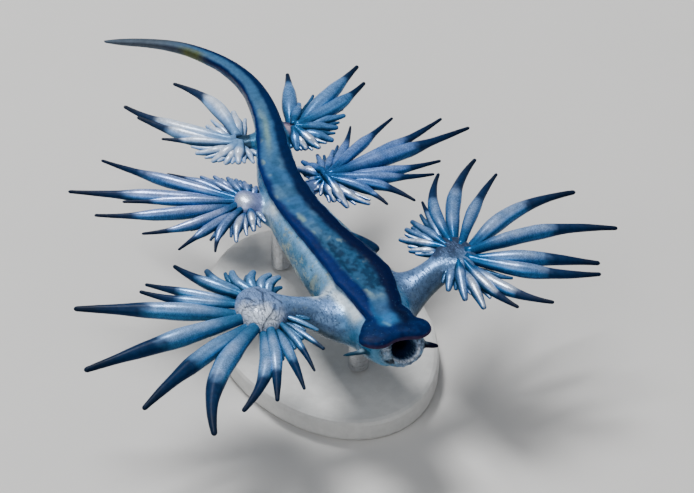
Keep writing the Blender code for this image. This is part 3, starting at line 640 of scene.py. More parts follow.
def skin_shapes():
    """Every closed shape that the skin is fused from."""
    front = np.array([(-0.35, -8.1, 1.0, 1.0, -3.3)])
    shapes = [trunk(BODY), sole(np.concatenate([front, BODY])), hammer(), head()]
    shapes += [feeler(*sizes) for sizes in FEELERS.values()]
    shapes += [arm(rows) for rows in ARMS.values()]
    shapes += [palm(fan) for fan in FANS.values()]
    shapes += [short_arm(fan) for fan in list(FANS.values())[2:]]
    return shapes


# Putting shapes into the world.


def place(points):
    """World coordinates, in metres, of points given in millimetres from the middle of the foot."""
    return (np.asarray(points) + FOOT_MIDDLE) * MM


def mesh_of(name, points, faces):
    """A mesh of these points and faces."""
    mesh = bpy.data.meshes.new(name)
    mesh.from_pydata(np.asarray(points).tolist(), [], faces)
    mesh.update()
    return mesh


def rows_of(data, key):
    """Three numbers for each item of a mesh's data: "co" of its vertices or "vector" of its normals."""
    flat = np.empty(len(data) * 3, np.float32)
    data.foreach_get(key, flat)
    return flat.reshape(-1, 3).astype(float)


def set_points(mesh, points):
    """Moves the mesh's points to these places."""
    mesh.vertices.foreach_set("co", np.asarray(points, np.float32).ravel())
    mesh.update()


def store(mesh, name, values):
    """Writes one number or one colour for each point as an attribute that a material can read."""
    values = np.asarray(values, np.float32)
    if values.ndim == 1:
        mesh.attributes.new(name, "FLOAT", "POINT").data.foreach_set("value", values)
        return
    colours = np.concatenate([values, np.ones((len(values), 1), np.float32)], axis=1)
    mesh.attributes.new(name, "FLOAT_COLOR", "POINT").data.foreach_set("color", colours.ravel())


def piece(name, mesh, material, slot, *nodes):
    """An object for a mesh, riding on the root and standing for its nodes."""
    made = bpy.data.objects.new(name, mesh)
    bpy.context.scene.collection.objects.link(made)
    made.data.materials.append(material)
    made.data.shade_smooth()
    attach(made, "root")
    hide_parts(*nodes)
    return made


def fused(shapes):
    """One closed mesh round all the shapes, by voxels."""
    points, faces = joined(shapes)
    lump = bpy.data.objects.new("lump", mesh_of("lump", points, faces))
    bpy.context.scene.collection.objects.link(lump)
    voxels = lump.modifiers.new("voxels", "REMESH")
    voxels.mode = "VOXEL"
    voxels.voxel_size = SKIN_VOXEL
    graph = bpy.context.evaluated_depsgraph_get()
    mesh = bpy.data.meshes.new_from_object(lump.evaluated_get(graph))
    bpy.data.objects.remove(lump)
    return mesh


def relaxed(mesh, points, weight, rounds):
    """Moves each point toward the mean of its neighbours, by half the gap times its weight, this often."""
    flat = np.empty(len(mesh.edges) * 2, np.int32)
    mesh.edges.foreach_get("vertices", flat)
    first, second = flat.reshape(-1, 2).T
    ends = np.concatenate([first, second])
    count = np.bincount(ends, minlength=len(points))[:, None]
    share = 0.5 * np.broadcast_to(weight, len(points))[:, None]
    for _ in range(rounds):
        others = np.concatenate([points[second], points[first]])
        total = np.stack([np.bincount(ends, others[:, k], len(points)) for k in range(3)], axis=1)
        points = points + (total / count - points) * share
    return points


# Where a point of the skin lies on the animal.


def along_path(points, path):
    """For each point, the row of the path that is nearest in plan, and how far across it the point is,
    positive to the right of the way along it."""
    along = np.gradient(path[:, :2], axis=0)
    along /= np.linalg.norm(along, axis=1)[:, None]
    nearest = np.empty(len(points), int)
    for start in range(0, len(points), 8000):
        block = points[start : start + 8000, None, :2] - path[None, :, :2]
        nearest[start : start + 8000] = np.argmin((block**2).sum(axis=2), axis=1)
    offset = points[:, :2] - path[nearest, :2]
    across = offset[:, 0] * along[nearest, 1] - offset[:, 1] * along[nearest, 0]
    return nearest, across


def on_arm(points, rows):
    """The share of the way from the flank to the palm, and 1 on the arm falling to 0 off it."""
    path = smooth_row(rows, 60)
    nearest, across = along_path(points, path)
    off = np.hypot(across / path[nearest, 3], (points[:, 2] - path[nearest, 2]) / path[nearest, 4])
    ends = np.linalg.norm(points[:, :2] - path[nearest, :2], axis=1) / path[nearest, 3]
    return nearest / 59.0, 1 - step(np.maximum(off, ends), 1.08, 1.3)


def web_weight(points):
    """1 where the arms and palms flow into each other and into the flank, and 0 on the foot, the head and
    the feelers."""
    x, y, _ = points.T
    path = smooth_row(BODY, 200)
    nearest, offset = along_path(points, path)
    beyond = np.abs(offset) - path[nearest, 3]
    weight = step(beyond, 0.15, 0.6)
    weight *= step(y, -6.6, -5.8)
    near = np.zeros(len(points))
    for fan in FANS.values():
        far = np.linalg.norm((points - np.array(fan["palm"])) / (np.array(fan["palm_size"]) + 0.9), axis=1)
        near = np.maximum(near, 1 - step(far, 0.9, 1.1))
        far = np.linalg.norm((points - np.array(fan["arm"])) / 1.6, axis=1)
        near = np.maximum(near, 1 - step(far, 0.8, 1.1))
    arms = (np.abs(y + 3.8) < 3.0) * (np.abs(x) > 1.5)
    papilla = np.linalg.norm(points - np.array(FEELERS["papilla"][1]), axis=1)
    return weight * np.maximum(near, arms) * step(papilla, 1.2, 1.8)


def round_mouth(points):
    """How far each point is ahead of the head's middle, out from the mouth's axis, and round it."""
    way, level, upright = axes_of(MOUTH_WAY)
    gap = points - HEAD_MIDDLE
    ahead = gap @ way
    level, upright = gap @ level / HEAD_WIDER, gap @ upright / HEAD_LOWER
    return ahead, np.hypot(level, upright), np.arctan2(upright, level)


def lip_height(points):
    """Radial folds and small beads that stand up on the ring of the lips."""
    ahead, radius, angle = round_mouth(points)
    on = step(ahead, 0.75, 1.1) * (1 - step(radius, 1.25, 1.5)) * (points[:, 2] < -0.75)
    on *= np.linalg.norm(points - HEAD_MIDDLE, axis=1) < 2.1
    folds = 0.045 * np.cos(LIP_FOLDS * angle + 0.8 * np.sin(3 * angle) + 2.5 * radius)
    beads = 0.10 * (grain(points, 0.17, 31) - 0.5) + 0.08 * (grain(points, 0.34, 33) - 0.5)
    return on * (folds + beads)


def sole_colours(points, across, spots):
    """The foot: an ultramarine band on the left, a steel-blue stripe that runs into a glow at the neck,
    and an ink band on the right, lighter toward its outer edge as a painted sheen, all with soft borders
    that wander. Toward the front the stripe breaks up into dark and pale blotches, and the tail is duller."""
    y = points[:, 1]
    at, middle, half = np.array(STRIPE).T
    off = (across - np.interp(y, at, middle) + (spots - 0.5) * 0.2) / np.interp(y, at, half)
    off = off + 0.08 * np.sin(3.1 * y) * step(y, 2.0, 4.0) * (1 - step(y, 9.0, 11.0))
    tail = step(y, 13.0, 18.0)
    left = mix(ULTRAMARINE, NAVY, 0.15 + 0.35 * spots + 0.3 * tail)
    # The ink band is lighter toward its outer edge as a painted sheen, and lighter from the middle of the
    # body back.
    lighter = step(across, 0.8, 1.0) * 0.6 + step(y, 2.0, 11.0) * 0.8 + tail
    right = mix(BAND_INK, BAND_NAVY, np.clip(lighter, 0, 1))
    cloud = grain(points, 1.3, 45)
    stripe = mix(STEEL, STRIPE_LIGHT, step(cloud, 0.35, 0.75) * 0.8)
    stripe = mix(stripe, STRIPE_DARK, step(grain(points, 0.55, 49), 0.45, 0.8) * 0.6)
    greenish = np.exp(-(((y - 12.5) / 1.8) ** 2) - ((off + 0.1) / 0.4) ** 2)
    stripe = mix(stripe, STRIPE_GREEN, greenish * 0.8)
    pale = step(grain(points, 0.7, 47), 0.62, 0.8) * np.exp(-(((off + 0.75) / 0.45) ** 2))
    stripe = mix(stripe, STRIPE_PALE, pale * step(y, 0.0, 2.0) * (1 - tail) * 0.7)
    front = step(y, -5.6, -4.0) * (1 - step(y, 0.6, 3.0))
    blotches = sum(
        share * grain(points * (1.2, 0.85, 1.0), cell, seed)
        for share, cell, seed in ((0.45, 0.85, 41), (0.33, 0.36, 42), (0.22, 0.16, 43))
    )
    stripe = mix(stripe, BLOTCH_BLUE, front * 0.85)
    stripe = mix(stripe, BLOTCH_DARK, front * step(blotches, 0.48, 0.66) * 0.85)
    stripe = mix(stripe, BLOTCH_PALE, front * step(-blotches, -0.42, -0.26) * 0.9)
    stripe = mix(stripe, TAIL_BLUE, tail)
    neck = step(-y, 4.9, 6.2)
    glow = mix(NECK_BLUE, GLOW, step(-y, 6.2, 7.3))
    stripe = mix(stripe, glow, neck * (0.75 + 0.3 * blotches))
    from_left = step(off, -1.3 - 0.2 * neck, -0.7 + 0.3 * neck)
    to_right = step(off, 0.55 - 0.35 * neck, 1.35 + 0.1 * neck)
    share = from_left * (1 - to_right) * (1 - step(-y, 7.4, 8.1))
    colour = mix(mix(left, right, step(off, -0.4, 0.6)), stripe, share)
    edge = neck * np.exp(-(((off + 1.0) / 0.3) ** 2)) * (1 - step(-y, 7.3, 7.9))
    colour = mix(colour, NECK_EDGE, edge * 0.6)
    return mix(colour, TAIL_GREY, step(y, 22.0, 24.5) * 0.9)


def segment_near(points, start, end, width):
    """1 on a straight line drawn in plan, falling to 0 about this far from it."""
    start, way = np.array(start), np.array(end) - np.array(start)
    gap = points[:, :2] - start
    along = np.clip(gap @ way / (way @ way), 0, 1)
    return np.exp(-((np.linalg.norm(gap - along[:, None] * way, axis=1) / width) ** 2))


class Skin:
    """The skin's points, what its zones are worked out from, and the values that its material reads.

    offset is how far a point lies across the body's path in millimetres, across the same from the foot's
    middle as a share of the foot's half width, and up the level part of the normal. coarse, fine and
    spots are noise from 0 to 1. The zones are painted one over the other.
    """

    def __init__(self, points, normals):
        """Finds the place of each point on the animal and starts with no marks."""
        self.points, self.normals = points, normals
        self.up = normals[:, 2]
        path = smooth_row(BODY, 400)
        nearest, self.offset = along_path(points, path)
        self.foot = path[nearest, 3]
        self.across = (self.offset - foot_shift(points[:, 1])) / self.foot
        self.coarse, self.fine = grain(points, 0.9, 3), grain(points, 0.35, 5)
        self.spots = 0.6 * self.coarse + 0.4 * self.fine
        self.colour = np.zeros((len(points), 3))
        self.mottles, self.cracks, self.lines, self.matt, self.feelers = np.zeros((5, len(points)))

    def paint(self, colour, share):
        """Lays a colour over the skin, by a share for each point."""
        self.colour = mix(self.colour, colour, share)


def paint_flanks(skin):
    """Blue flanks, paler and mottled behind the front arms, dark low down and silver underneath, with a
    painted highlight on the shoulder's upward faces under the foot, and pale, dark and cream clouds."""
    _, y, z = skin.points.T
    wander = y + 2.5 * (skin.coarse - 0.5)
    pale = step(wander, -3.5, -1.5) * (1 - step(wander, 3.5, 7.0))
    upper = mix(FLANK_BLUE, FLANK, pale * (0.6 + 0.5 * skin.fine))
    skin.colour = mix(FLANK_LOW, upper, step(z + skin.spots * 0.9, -2.7, -1.0))
    skin.paint(SILVER, step(-skin.up, 0.25, 0.8) * 0.7)
    # Painted highlight on the upward faces of the shoulder just under the foot's edge.
    lit_shoulder = step(z, -1.1, -0.7) * step(skin.up, 0.5, 0.9)
    skin.paint(FLANK_PALE_AND_SHEEN, lit_shoulder * 0.4 * skin.coarse)
    cloud = grain(skin.points * (1.0, 0.7, 1.0), 0.75, 51)
    skin.paint(FLANK_PALE_AND_SHEEN, step(cloud, 0.60, 0.85) * step(z, -3.0, -1.5) * 0.5)
    skin.paint(FLANK_SHADE, step(-cloud, -0.45, -0.2) * 0.65)
    skin.paint(FLANK_CREAM, step(grain(skin.points, 0.6, 53), 0.58, 0.78) * pale * 0.6)
    skin.mottles = np.clip(pale + 0.2, 0, 1)


def paint_arms(skin):
    """Each front arm: lilac on top and grey in front and below, painted light and shade, with fine lines on
    top.
    """
    top = step(skin.up, -0.1, 0.5)
    front = step(-skin.normals[:, 1], 0.0, 0.6)
    for side, rows in ARMS.items():
        share, on = on_arm(skin.points, rows)
        # Lilac on the upward faces and grey on the faces to the front: painted light and shade. The right
        # arm's top is darker toward the body.
        bright = (0.85 + 0.25 * skin.coarse if side == "left" else 0.38 + 0.55 * share)[:, None]
        shade = mix(SHADED_ARM_GREY, LIT_LILAC * bright, top * (1 - 0.65 * front))
        # Greyer low down, as painted shade.
        shade = mix(shade, SHADED_ARM_GREY, step(-skin.points[:, 2], 2.0, 2.9) * 0.7)
        on = on * step(share, 0.08, 0.3)
        skin.paint(shade, on)
        skin.mottles = skin.mottles * (1 - on * 0.6)
        skin.lines = np.maximum(skin.lines, on * top)


def paint_web(skin):
    """The pale edge of the left flank beside the foot, a painted highlight on its upward faces, and the white
    webs where the front left arm and the middle left palm leave it, silvery-white skin with a painted
    highlight."""
    x, y, z = skin.points.T
    # Painted highlight along the upward faces of the flank beside the foot.
    edge = np.exp(-(((-skin.offset - skin.foot - 0.22) / 0.32) ** 2))
    edge = edge * step(skin.up, -0.1, 0.5) * step(z, -1.8, -1.2)
    skin.paint(FLANK_PALE_AND_SHEEN, edge * (1 - step(y, 6.0, 9.0)) * (0.6 + 0.5 * skin.fine))
    web = edge * step(y, -6.2, -5.4) * (1 - step(y, -3.4, -1.6))
    web = np.maximum(web, 0.8 * segment_near(skin.points, (-3.3, -2.5), (-2.2, -2.3), 0.4))
    web = np.maximum(web, 0.9 * np.exp(-((x + 2.35) / 0.6) ** 2 - ((y - 6.1) / 0.7) ** 2))
    # The webs are white only on their upward faces: silvery-white skin with a painted highlight.
    skin.web = web * step(skin.up, -0.1, 0.6) * (0.75 + 0.4 * skin.fine)
    skin.paint(WEB_WHITE_HIGHLIGHT, np.clip(skin.web * 1.25, 0, 0.97))
    skin.mottles = skin.mottles * (1 - 0.7 * skin.web)


def paint_palms(skin):
    """Each palm in its fan's colour. The front left one is matt and pale toward its front, partly its own
    silvery skin and partly painted highlight, the front right one is lighter there, the middle left one
    has a painted highlight spot, the rear left one is dark as painted shade, and a rosy knob sits by the
    rear right one."""
    x, y, _ = skin.points.T
    for name, fan in FANS.items():
        middle, size = np.array(fan["palm"]), np.array(fan["palm_size"])
        reach = np.linalg.norm((skin.points - middle)[:, :2] / size[:2], axis=1)
        near = np.linalg.norm((skin.points - middle) / size, axis=1)
        on = (1 - step(near, 1.05, 1.3)) * (1 - step(reach, 1.05, 1.25))
        tone = np.broadcast_to(PALM_COLOURS[name], skin.points.shape)
        if name == "cerata_front_left":
            # Pale toward the lower front: partly the palm's own silvery skin, partly painted highlight.
            down = -(y - middle[1]) * 0.8 - (x - middle[0]) * 0.7 + 0.9 * (skin.fine - 0.5)
            tone = mix(tone, PEARL_HIGHLIGHT, step(down, 0.0, 1.3) * 0.95)
            on = on * (1 - step(x - middle[0], 0.9, 1.5))
            skin.matt = on
        if name == "cerata_front_right":
            down = -(y - middle[1]) - (x - middle[0]) * 0.2 + skin.spots
            tone = mix(tone, PALM_LIGHT, step(down, 0.3, 1.6))
        if name == "cerata_middle_left":
            # Painted highlight spot on the left of the middle left palm's knob.
            tone = mix(tone, PEARL_HIGHLIGHT, np.exp(-(((x + 3.6) / 0.5) ** 2 + ((y - 7.8) / 0.5) ** 2)))
        skin.paint(tone, on)
        if name == "cerata_rear_right":
            knob = np.exp(-(((x - 1.9) / 0.3) ** 2 + ((y - 13.2) / 0.4) ** 2))
            skin.paint(KNOB_ROSE, knob * on)
        skin.cracks = np.maximum(skin.cracks, on * PALM_CRACKING[name])
        skin.mottles = skin.mottles * (1 - on)
        skin.lines = skin.lines * (1 - on * 0.7)


def paint_palm_cracks(skin):
    """The long dark cracks of the front left palm, whose lines wander with the noise."""
    x, _, z = skin.points.T
    wave = np.stack([0.12 * (skin.fine - 0.5), 0.12 * (skin.coarse - 0.5), 0 * x], axis=1)
    splits = np.zeros(len(skin.points))
    for start, end in PALM_CRACKS:
        splits = np.maximum(splits, segment_near(skin.points + wave, start, end, 0.055) * (z > -1.6))
    skin.paint(CHARCOAL, splits * 0.85)


def paint_head(skin):
    """The head: a blue bulb with a paler, beaded and pitted ring of lips, a painted highlight line on the
    lips, a dark arc beside it, and a dark throat with pale rays, darkest toward its middle as painted shade."""
    y, z = skin.points[:, 1], skin.points[:, 2]
    from_head = skin.points - HEAD_MIDDLE
    ahead, radius, turn = round_mouth(skin.points)
    near = np.linalg.norm(from_head, axis=1)
    on = (1 - step(near, 1.75, 2.0)) * step(-y, 6.6, 7.4) * step(-z, 0.5, 0.75)
    ring = mix(HEAD_BLUE, LIP_BLUE, step(ahead, 0.75, 1.2))
    ring = mix(ring, CHEEK_BLUE, step(-from_head[:, 0], 0.35, 1.0) * (0.5 + 0.4 * skin.coarse))
    # Painted highlight on the inner rim of the lips, to the lower right and on the left.
    left_side = np.exp(-(((turn - 0.25) / 0.6) ** 2))
    lower_right = step(-np.sin(turn) - 0.4 * np.cos(turn), 0.0, 0.6)
    inner = np.exp(-(((radius - 0.88) / 0.07) ** 2)) * lower_right
    inner = np.maximum(inner, np.exp(-(((radius - 1.02) / 0.16) ** 2)) * left_side)
    inner = inner * step(ahead, 0.8, 1.1)
    ring = mix(ring, PEARL_HIGHLIGHT, np.clip(inner * (0.7 + 1.0 * skin.fine), 0, 1))
    beads = step(grain(skin.points, 0.14, 35), 0.55, 0.75) * step(ahead, 0.9, 1.2)
    ring = mix(ring, BEAD_SILVER, beads * 0.5)
    dark_arc = np.exp(-(((turn + 0.75) / 0.5) ** 2)) * step(radius, 0.85, 0.95)
    dark_arc = dark_arc * (1 - step(radius, 1.25, 1.45))
    ring = mix(ring, CHARCOAL, np.clip(dark_arc * step(skin.fine, 0.38, 0.6) * 1.3, 0, 0.92))
    pits = step(skin.fine, 0.66, 0.76) * step(ahead, 0.9, 1.2) * step(radius, 0.95, 1.02)
    ring = mix(ring, CHARCOAL, pits * 0.55)
    skin.paint(ring, on)

    inside = on * (1 - step(radius, 0.70, 0.82)) * step(ahead, 0.1, 0.3)
    # Darkest, in ink, toward the middle of the throat: painted shade deep in the mouth.
    throat = mix(THROAT_BLUE, INK, 1 - step(radius, 0.2, 0.6))
    upper_right = np.exp(-(((turn - 2.3) / 0.7) ** 2))
    rays = step(np.cos(31 * turn + 3 * skin.coarse) * 0.5 + skin.fine, 0.6, 1.0)
    rays = rays * step(radius, 0.5, 0.72)
    throat = mix(throat, RAY_BLUE, rays * (0.3 + 0.7 * upper_right))
    roof = step(np.sin(turn), 0.45, 0.9) * step(radius, 0.35, 0.7)
    throat = mix(throat, THROAT_GREY, roof * 0.8)
    skin.paint(throat, inside)
    skin.cracks = np.maximum(skin.cracks, on * step(ahead, 0.5, 1.0) * 0.8) * (1 - inside)
    skin.head, skin.inside = on, inside
    skin.lips = on * step(ahead, 0.6, 1.0) * (1 - inside)


def hammer_pad(skin, foot):
    """The hammer-shaped front of the foot: mottled navy with an ink shadow, the foot's own colours
    running into its middle, one bright line and a maroon rim."""
    y, z = skin.points[:, 1], skin.points[:, 2]
    blotches = 0.5 * skin.spots + 0.5 * grain(skin.points, 0.2, 61)
    pad = mix(PAD_INK, PAD_NAVY, step(blotches, 0.3, 0.7))
    pad = mix(pad, INK, segment_near(skin.points, (0.15, -6.4), (0.35, -7.6), 0.55) * 0.8)
    middle = segment_near(skin.points, (-0.7, -5.0), (-0.72, -7.5), 0.75)
    pad = mix(pad, foot, np.clip(middle * 1.5, 0, 1))
    spark = segment_near(skin.points, (-1.0, -7.4), (-0.8, -7.8), 0.11) * (0.1 + 1.1 * skin.fine)
    pad = mix(pad, SPARK, np.clip(spark, 0, 0.8))
    return mix(pad, MAROON, step(-y, 8.3, 8.7) * step(-z, 0.14, 0.30) * 0.9)


def paint_foot(skin):
    """The foot's sole, the sides of the tail with its olive patch, and the hammer in front."""
    x, y, z = skin.points.T
    left_end = np.interp(y, HAMMER_AT, HAMMER_LEFT)
    right_end = np.interp(y, HAMMER_AT, HAMMER_RIGHT)
    on_hammer = step(-y, 6.2, 6.4) * step(z, -0.72, -0.66) * step(x - left_end, -0.1, 0.0)
    on_hammer = on_hammer * step(right_end - x, -0.1, 0.0)
    on_sole = step(z, -0.56, -0.46) * (1 - step(np.abs(skin.offset) - skin.foot, 0.14, 0.2))
    on_sole = on_sole * step(y, -7.6, -7.2)
    foot = sole_colours(skin.points, skin.across, skin.spots)
    skin.paint(foot, on_sole)
    tail = mix(TAIL_SIDE, STEEL, step(-skin.up, 0.0, 0.8) * 0.5)
    tail = mix(tail, TAIL_GREY, step(y, 21.5, 24.0) * 0.9)
    skin.paint(tail, step(y, 14.5, 16.5) * (1 - on_sole) * (np.abs(skin.offset) < skin.foot + 0.5))
    patch = np.exp(-(((x + 0.35) / 1.1) ** 2 + ((y - 22.6) / 0.8) ** 2)) * step(-skin.across, 0.0, 0.7)
    skin.paint(OLIVE, np.clip(patch * 1.3, 0, 0.85) * (0.7 + 0.3 * skin.fine))
    skin.paint(hammer_pad(skin, foot), on_hammer)
    skin.blue = np.maximum(on_sole, on_hammer)
    skin.mottles = skin.mottles * (1 - skin.head) * (1 - skin.blue)
    skin.cracks = skin.cracks * (1 - skin.blue)
    skin.specks = skin.blue * (0.25 + 0.75 * step(-y, 2.0, 6.0)) * (1 - step(y, 8.0, 12.0))
    skin.lines = skin.lines * (1 - skin.blue)


def paint_feelers(skin):
    """Each feeler in its own dark colour past its root, with a pale patch on top of the two tentacles, partly
    their own silver and partly painted highlight.
    """
    for name, (root, tip, radius, _) in FEELERS.items():
        root, tip = np.array(root), np.array(tip)
        way = (tip - root) / np.linalg.norm(tip - root)
        along = (skin.points - root) @ way
        off = np.linalg.norm(skin.points - root - along[:, None] * way, axis=1)
        on = (1 - step(off, radius * 1.2, radius * 1.6)) * step(along, 0.35, 0.85)
        skin.feelers = np.maximum(skin.feelers, on)
        skin.paint(FEELER_COLOURS[name], on)
        if name.endswith("oral tentacle"):
            # A pale patch on the upward faces of each tentacle's root: partly its own silver, partly painted
            # highlight.
            patch = on * np.exp(-(((along - 1.0) / 0.3) ** 2)) * step(skin.up, 0.3, 0.9)
            skin.paint(FEELER_PATCH, patch * 0.8)
    skin.mottles = skin.mottles * (1 - skin.feelers)


def painted_skin(points, normals):
    """The skin with every zone painted, and its metal shine, roughness and grain worked out from them."""
    skin = Skin(points, normals)
    for paint_zone in (
        paint_flanks, paint_arms, paint_web, paint_palms, paint_palm_cracks, paint_head, paint_foot,
        paint_feelers,
    ):
        paint_zone(skin)
    shine = 0.42 * (1 - 0.8 * skin.web) * (1 - 0.85 * skin.head) * (1 - 0.7 * skin.matt)
    shine = shine * (1 - skin.blue) * (1 - skin.feelers) * (1 - skin.inside)
    skin.shine = np.clip(shine, 0, 1) * (1 - 0.8 * step(points[:, 1], 12.5, 15.5))
    skin.rough = 0.30 + 0.15 * skin.blue + 0.4 * skin.inside
    skin.grainy = 0.28 - 0.16 * skin.blue + 1.32 * skin.lips
    return skin


# Materials.


def put(tree, kind, inputs=None, **settings):
    """Adds a node, makes its settings, and sets or links each input, named or numbered."""
    made = tree.nodes.new(kind)
    for key, value in settings.items():
        setattr(made, key, value)
    for key, value in (inputs or {}).items():
        if isinstance(value, bpy.types.NodeSocket):
            tree.links.new(value, made.inputs[key])
        else:
            made.inputs[key].default_value = value
    return made


def maths(tree, operation, first, second=0.0, clamp=False):
    """A sum, product or the like of two numbers."""
    made = put(tree, "ShaderNodeMath", {0: first, 1: second}, operation=operation, use_clamp=clamp)
    return made.outputs[0]


def blend(tree, share, first, second, kind="MIX"):
    """A colour between two others. Plain colours are given as three numbers."""
    def as_input(value):
        """A link as it is, or a plain colour with its fourth number."""
        return value if isinstance(value, bpy.types.NodeSocket) else (*value, 1.0)

    made = put(
        tree, "ShaderNodeMix", {0: share, 6: as_input(first), 7: as_input(second)},
        data_type="RGBA", blend_type=kind,
    )
    return made.outputs[2]


def ease(tree, value, low, high, to_low=0.0, to_high=1.0):
    """Follows a value from low to high with a smooth S."""
    made = put(
        tree, "ShaderNodeMapRange", {0: value, 1: low, 2: high, 3: to_low, 4: to_high},
        interpolation_type="SMOOTHSTEP",
    )
    return made.outputs[0]


def noise(tree, where, size, detail=3.0, roughness=0.55):
    """Noise whose lumps are about this many millimetres across."""
    made = put(
        tree, "ShaderNodeTexNoise",
        {"Vector": where, "Scale": 1.0 / (size * MM), "Detail": detail, "Roughness": roughness},
    )
    return made.outputs["Fac"]


def cells(tree, where, size):
    """Distance to the nearest edge in a pattern of cells about this many millimetres across."""
    made = put(
        tree, "ShaderNodeTexVoronoi", {"Vector": where, "Scale": 1.0 / (size * MM)},
        feature="DISTANCE_TO_EDGE",
    )
    return made.outputs["Distance"]


def stretched(tree, where, scale, turn=(0.0, 0.0, 0.0)):
    """Coordinates turned and stretched for a pattern of fine lines."""
    made = put(tree, "ShaderNodeMapping", {"Vector": where, "Rotation": turn, "Scale": scale})
    return made.outputs[0]


def new_material(name, roughness, metallic=0.0, specular=0.5):
    """A material, its node tree, its shader and its Object coordinates."""
    made = bpy.data.materials.new(name)
    made.use_nodes = True
    tree = made.node_tree
    shader = tree.nodes["Principled BSDF"]
    shader.inputs["Roughness"].default_value = roughness
    shader.inputs["Metallic"].default_value = metallic
    shader.inputs["Specular IOR Level"].default_value = specular
    where = tree.nodes.new("ShaderNodeTexCoord").outputs["Object"]
    return made, tree, shader, where


def attribute(tree, name, output="Fac"):
    """A value that the mesh holds for each point."""
    return put(tree, "ShaderNodeAttribute", attribute_name=name).outputs[output]


def set_colour(tree, shader, colour, tone):
    """The base colour, made lighter and darker by a grey tone."""
    grey = put(tree, "ShaderNodeCombineColor", {0: tone, 1: tone, 2: tone}).outputs[0]
    tree.links.new(blend(tree, 1.0, colour, grey, "MULTIPLY"), shader.inputs["Base Color"])


def set_bump(tree, shader, height, depth):
    """Bump of this depth in millimetres."""
    made = put(tree, "ShaderNodeBump", {"Height": height, "Distance": depth * MM})
    tree.links.new(made.outputs[0], shader.inputs["Normal"])


def set_wet(tree, shader, fleck):
    """Roughness and metal shine from the mesh, the roughness broken up by small flecks."""
    rough = maths(tree, "ADD", attribute(tree, "rough"), ease(tree, fleck, 0.3, 0.7, -0.06, 0.08))
    tree.links.new(rough, shader.inputs["Roughness"])
    tree.links.new(attribute(tree, "shine"), shader.inputs["Metallic"])


def skin_material():
    """Wet skin: its zones come from the mesh, and the mottles, cracks and fine lines from noise."""
    made, tree, shader, where = new_material("wet_skin", 0.3, specular=0.05)
    colour = attribute(tree, "zone_colour", "Color")
    mottles = attribute(tree, "mottles")
    cracks = attribute(tree, "cracks")
    lines = attribute(tree, "lines")

    soft = noise(tree, where, 0.5, 4.0, 0.6)
    fleck = noise(tree, where, 0.22, 3.0, 0.65)
    cream = maths(tree, "MULTIPLY", ease(tree, soft, 0.50, 0.64), ease(tree, fleck, 0.40, 0.58))
    cream = maths(tree, "MULTIPLY", cream, mottles, True)
    dark = ease(tree, noise(tree, where, 0.38, 4.0, 0.7), 0.40, 0.30)
    dark = maths(tree, "MULTIPLY", dark, mottles, True)
    colour = blend(tree, maths(tree, "MULTIPLY", dark, 0.75), colour, MOTTLE_DARK)
    colour = blend(tree, maths(tree, "MULTIPLY", cream, 0.7), colour, CREAM)

    slanted = stretched(tree, where, (1.0, 0.32, 0.6), (0.0, 0.0, 0.15))
    wide_crack = ease(tree, cells(tree, slanted, 0.42), 0.07, 0.0)
    fine_crack = ease(tree, cells(tree, slanted, 0.2), 0.11, 0.0)
    crack = maths(tree, "MAXIMUM", wide_crack, maths(tree, "MULTIPLY", fine_crack, 0.8))
    crack = maths(tree, "MULTIPLY", crack, ease(tree, fleck, 0.35, 0.55))
    crack = maths(tree, "MULTIPLY", crack, cracks, True)
    colour = blend(tree, maths(tree, "MULTIPLY", crack, 0.85), colour, CHARCOAL)

    across = stretched(tree, where, (1.0, 0.22, 0.6), (0.0, 0.0, 0.25))
    hair = noise(tree, across, 0.10, 2.0, 0.6)
    hair = maths(tree, "MULTIPLY", ease(tree, hair, 0.54, 0.66), lines, True)
    colour = blend(tree, maths(tree, "MULTIPLY", hair, 0.65), colour, HAIR_DARK)

    speck = ease(tree, noise(tree, where, 0.10, 2.0, 0.5), 0.68, 0.76)
    speck = maths(tree, "MULTIPLY", speck, attribute(tree, "specks"), True)
    colour = blend(tree, maths(tree, "MULTIPLY", speck, 0.6), colour, SPECK_BLUE)

    tone = ease(tree, noise(tree, where, 0.3, 5.0, 0.7), 0.3, 0.7, 0.8, 1.15)
    set_colour(tree, shader, colour, tone)

    height = maths(tree, "MULTIPLY", noise(tree, where, 0.18, 4.0, 0.6), attribute(tree, "grainy"))
    height = maths(tree, "SUBTRACT", height, maths(tree, "MULTIPLY", crack, 0.5))
    height = maths(tree, "SUBTRACT", height, maths(tree, "MULTIPLY", hair, 0.35))
    set_bump(tree, shader, height, 0.05)
    set_wet(tree, shader, fleck)
    return made


def ceras_material(name):
    """Cerata: blades with a metal shine and dark tips, from the mesh, with dark specks toward their roots."""
    made, tree, shader, where = new_material(name, 0.28, specular=0.06)
    colour = attribute(tree, "blade_colour", "Color")
    specks = attribute(tree, "specks")
    grainy = noise(tree, where, 0.09, 3.0, 0.7)
    fleck = maths(tree, "MULTIPLY", ease(tree, grainy, 0.52, 0.62), specks, True)
    colour = blend(tree, maths(tree, "MULTIPLY", fleck, 0.4), colour, CERAS_SPECK)
    tone = ease(tree, noise(tree, where, 0.25, 3.0, 0.55), 0.3, 0.7, 0.84, 1.14)
    set_colour(tree, shader, colour, tone)
    height = maths(tree, "ADD", noise(tree, where, 0.14, 4.0, 0.6), maths(tree, "MULTIPLY", grainy, 0.3))
    set_bump(tree, shader, height, 0.006)
    set_wet(tree, shader, grainy)
    return made


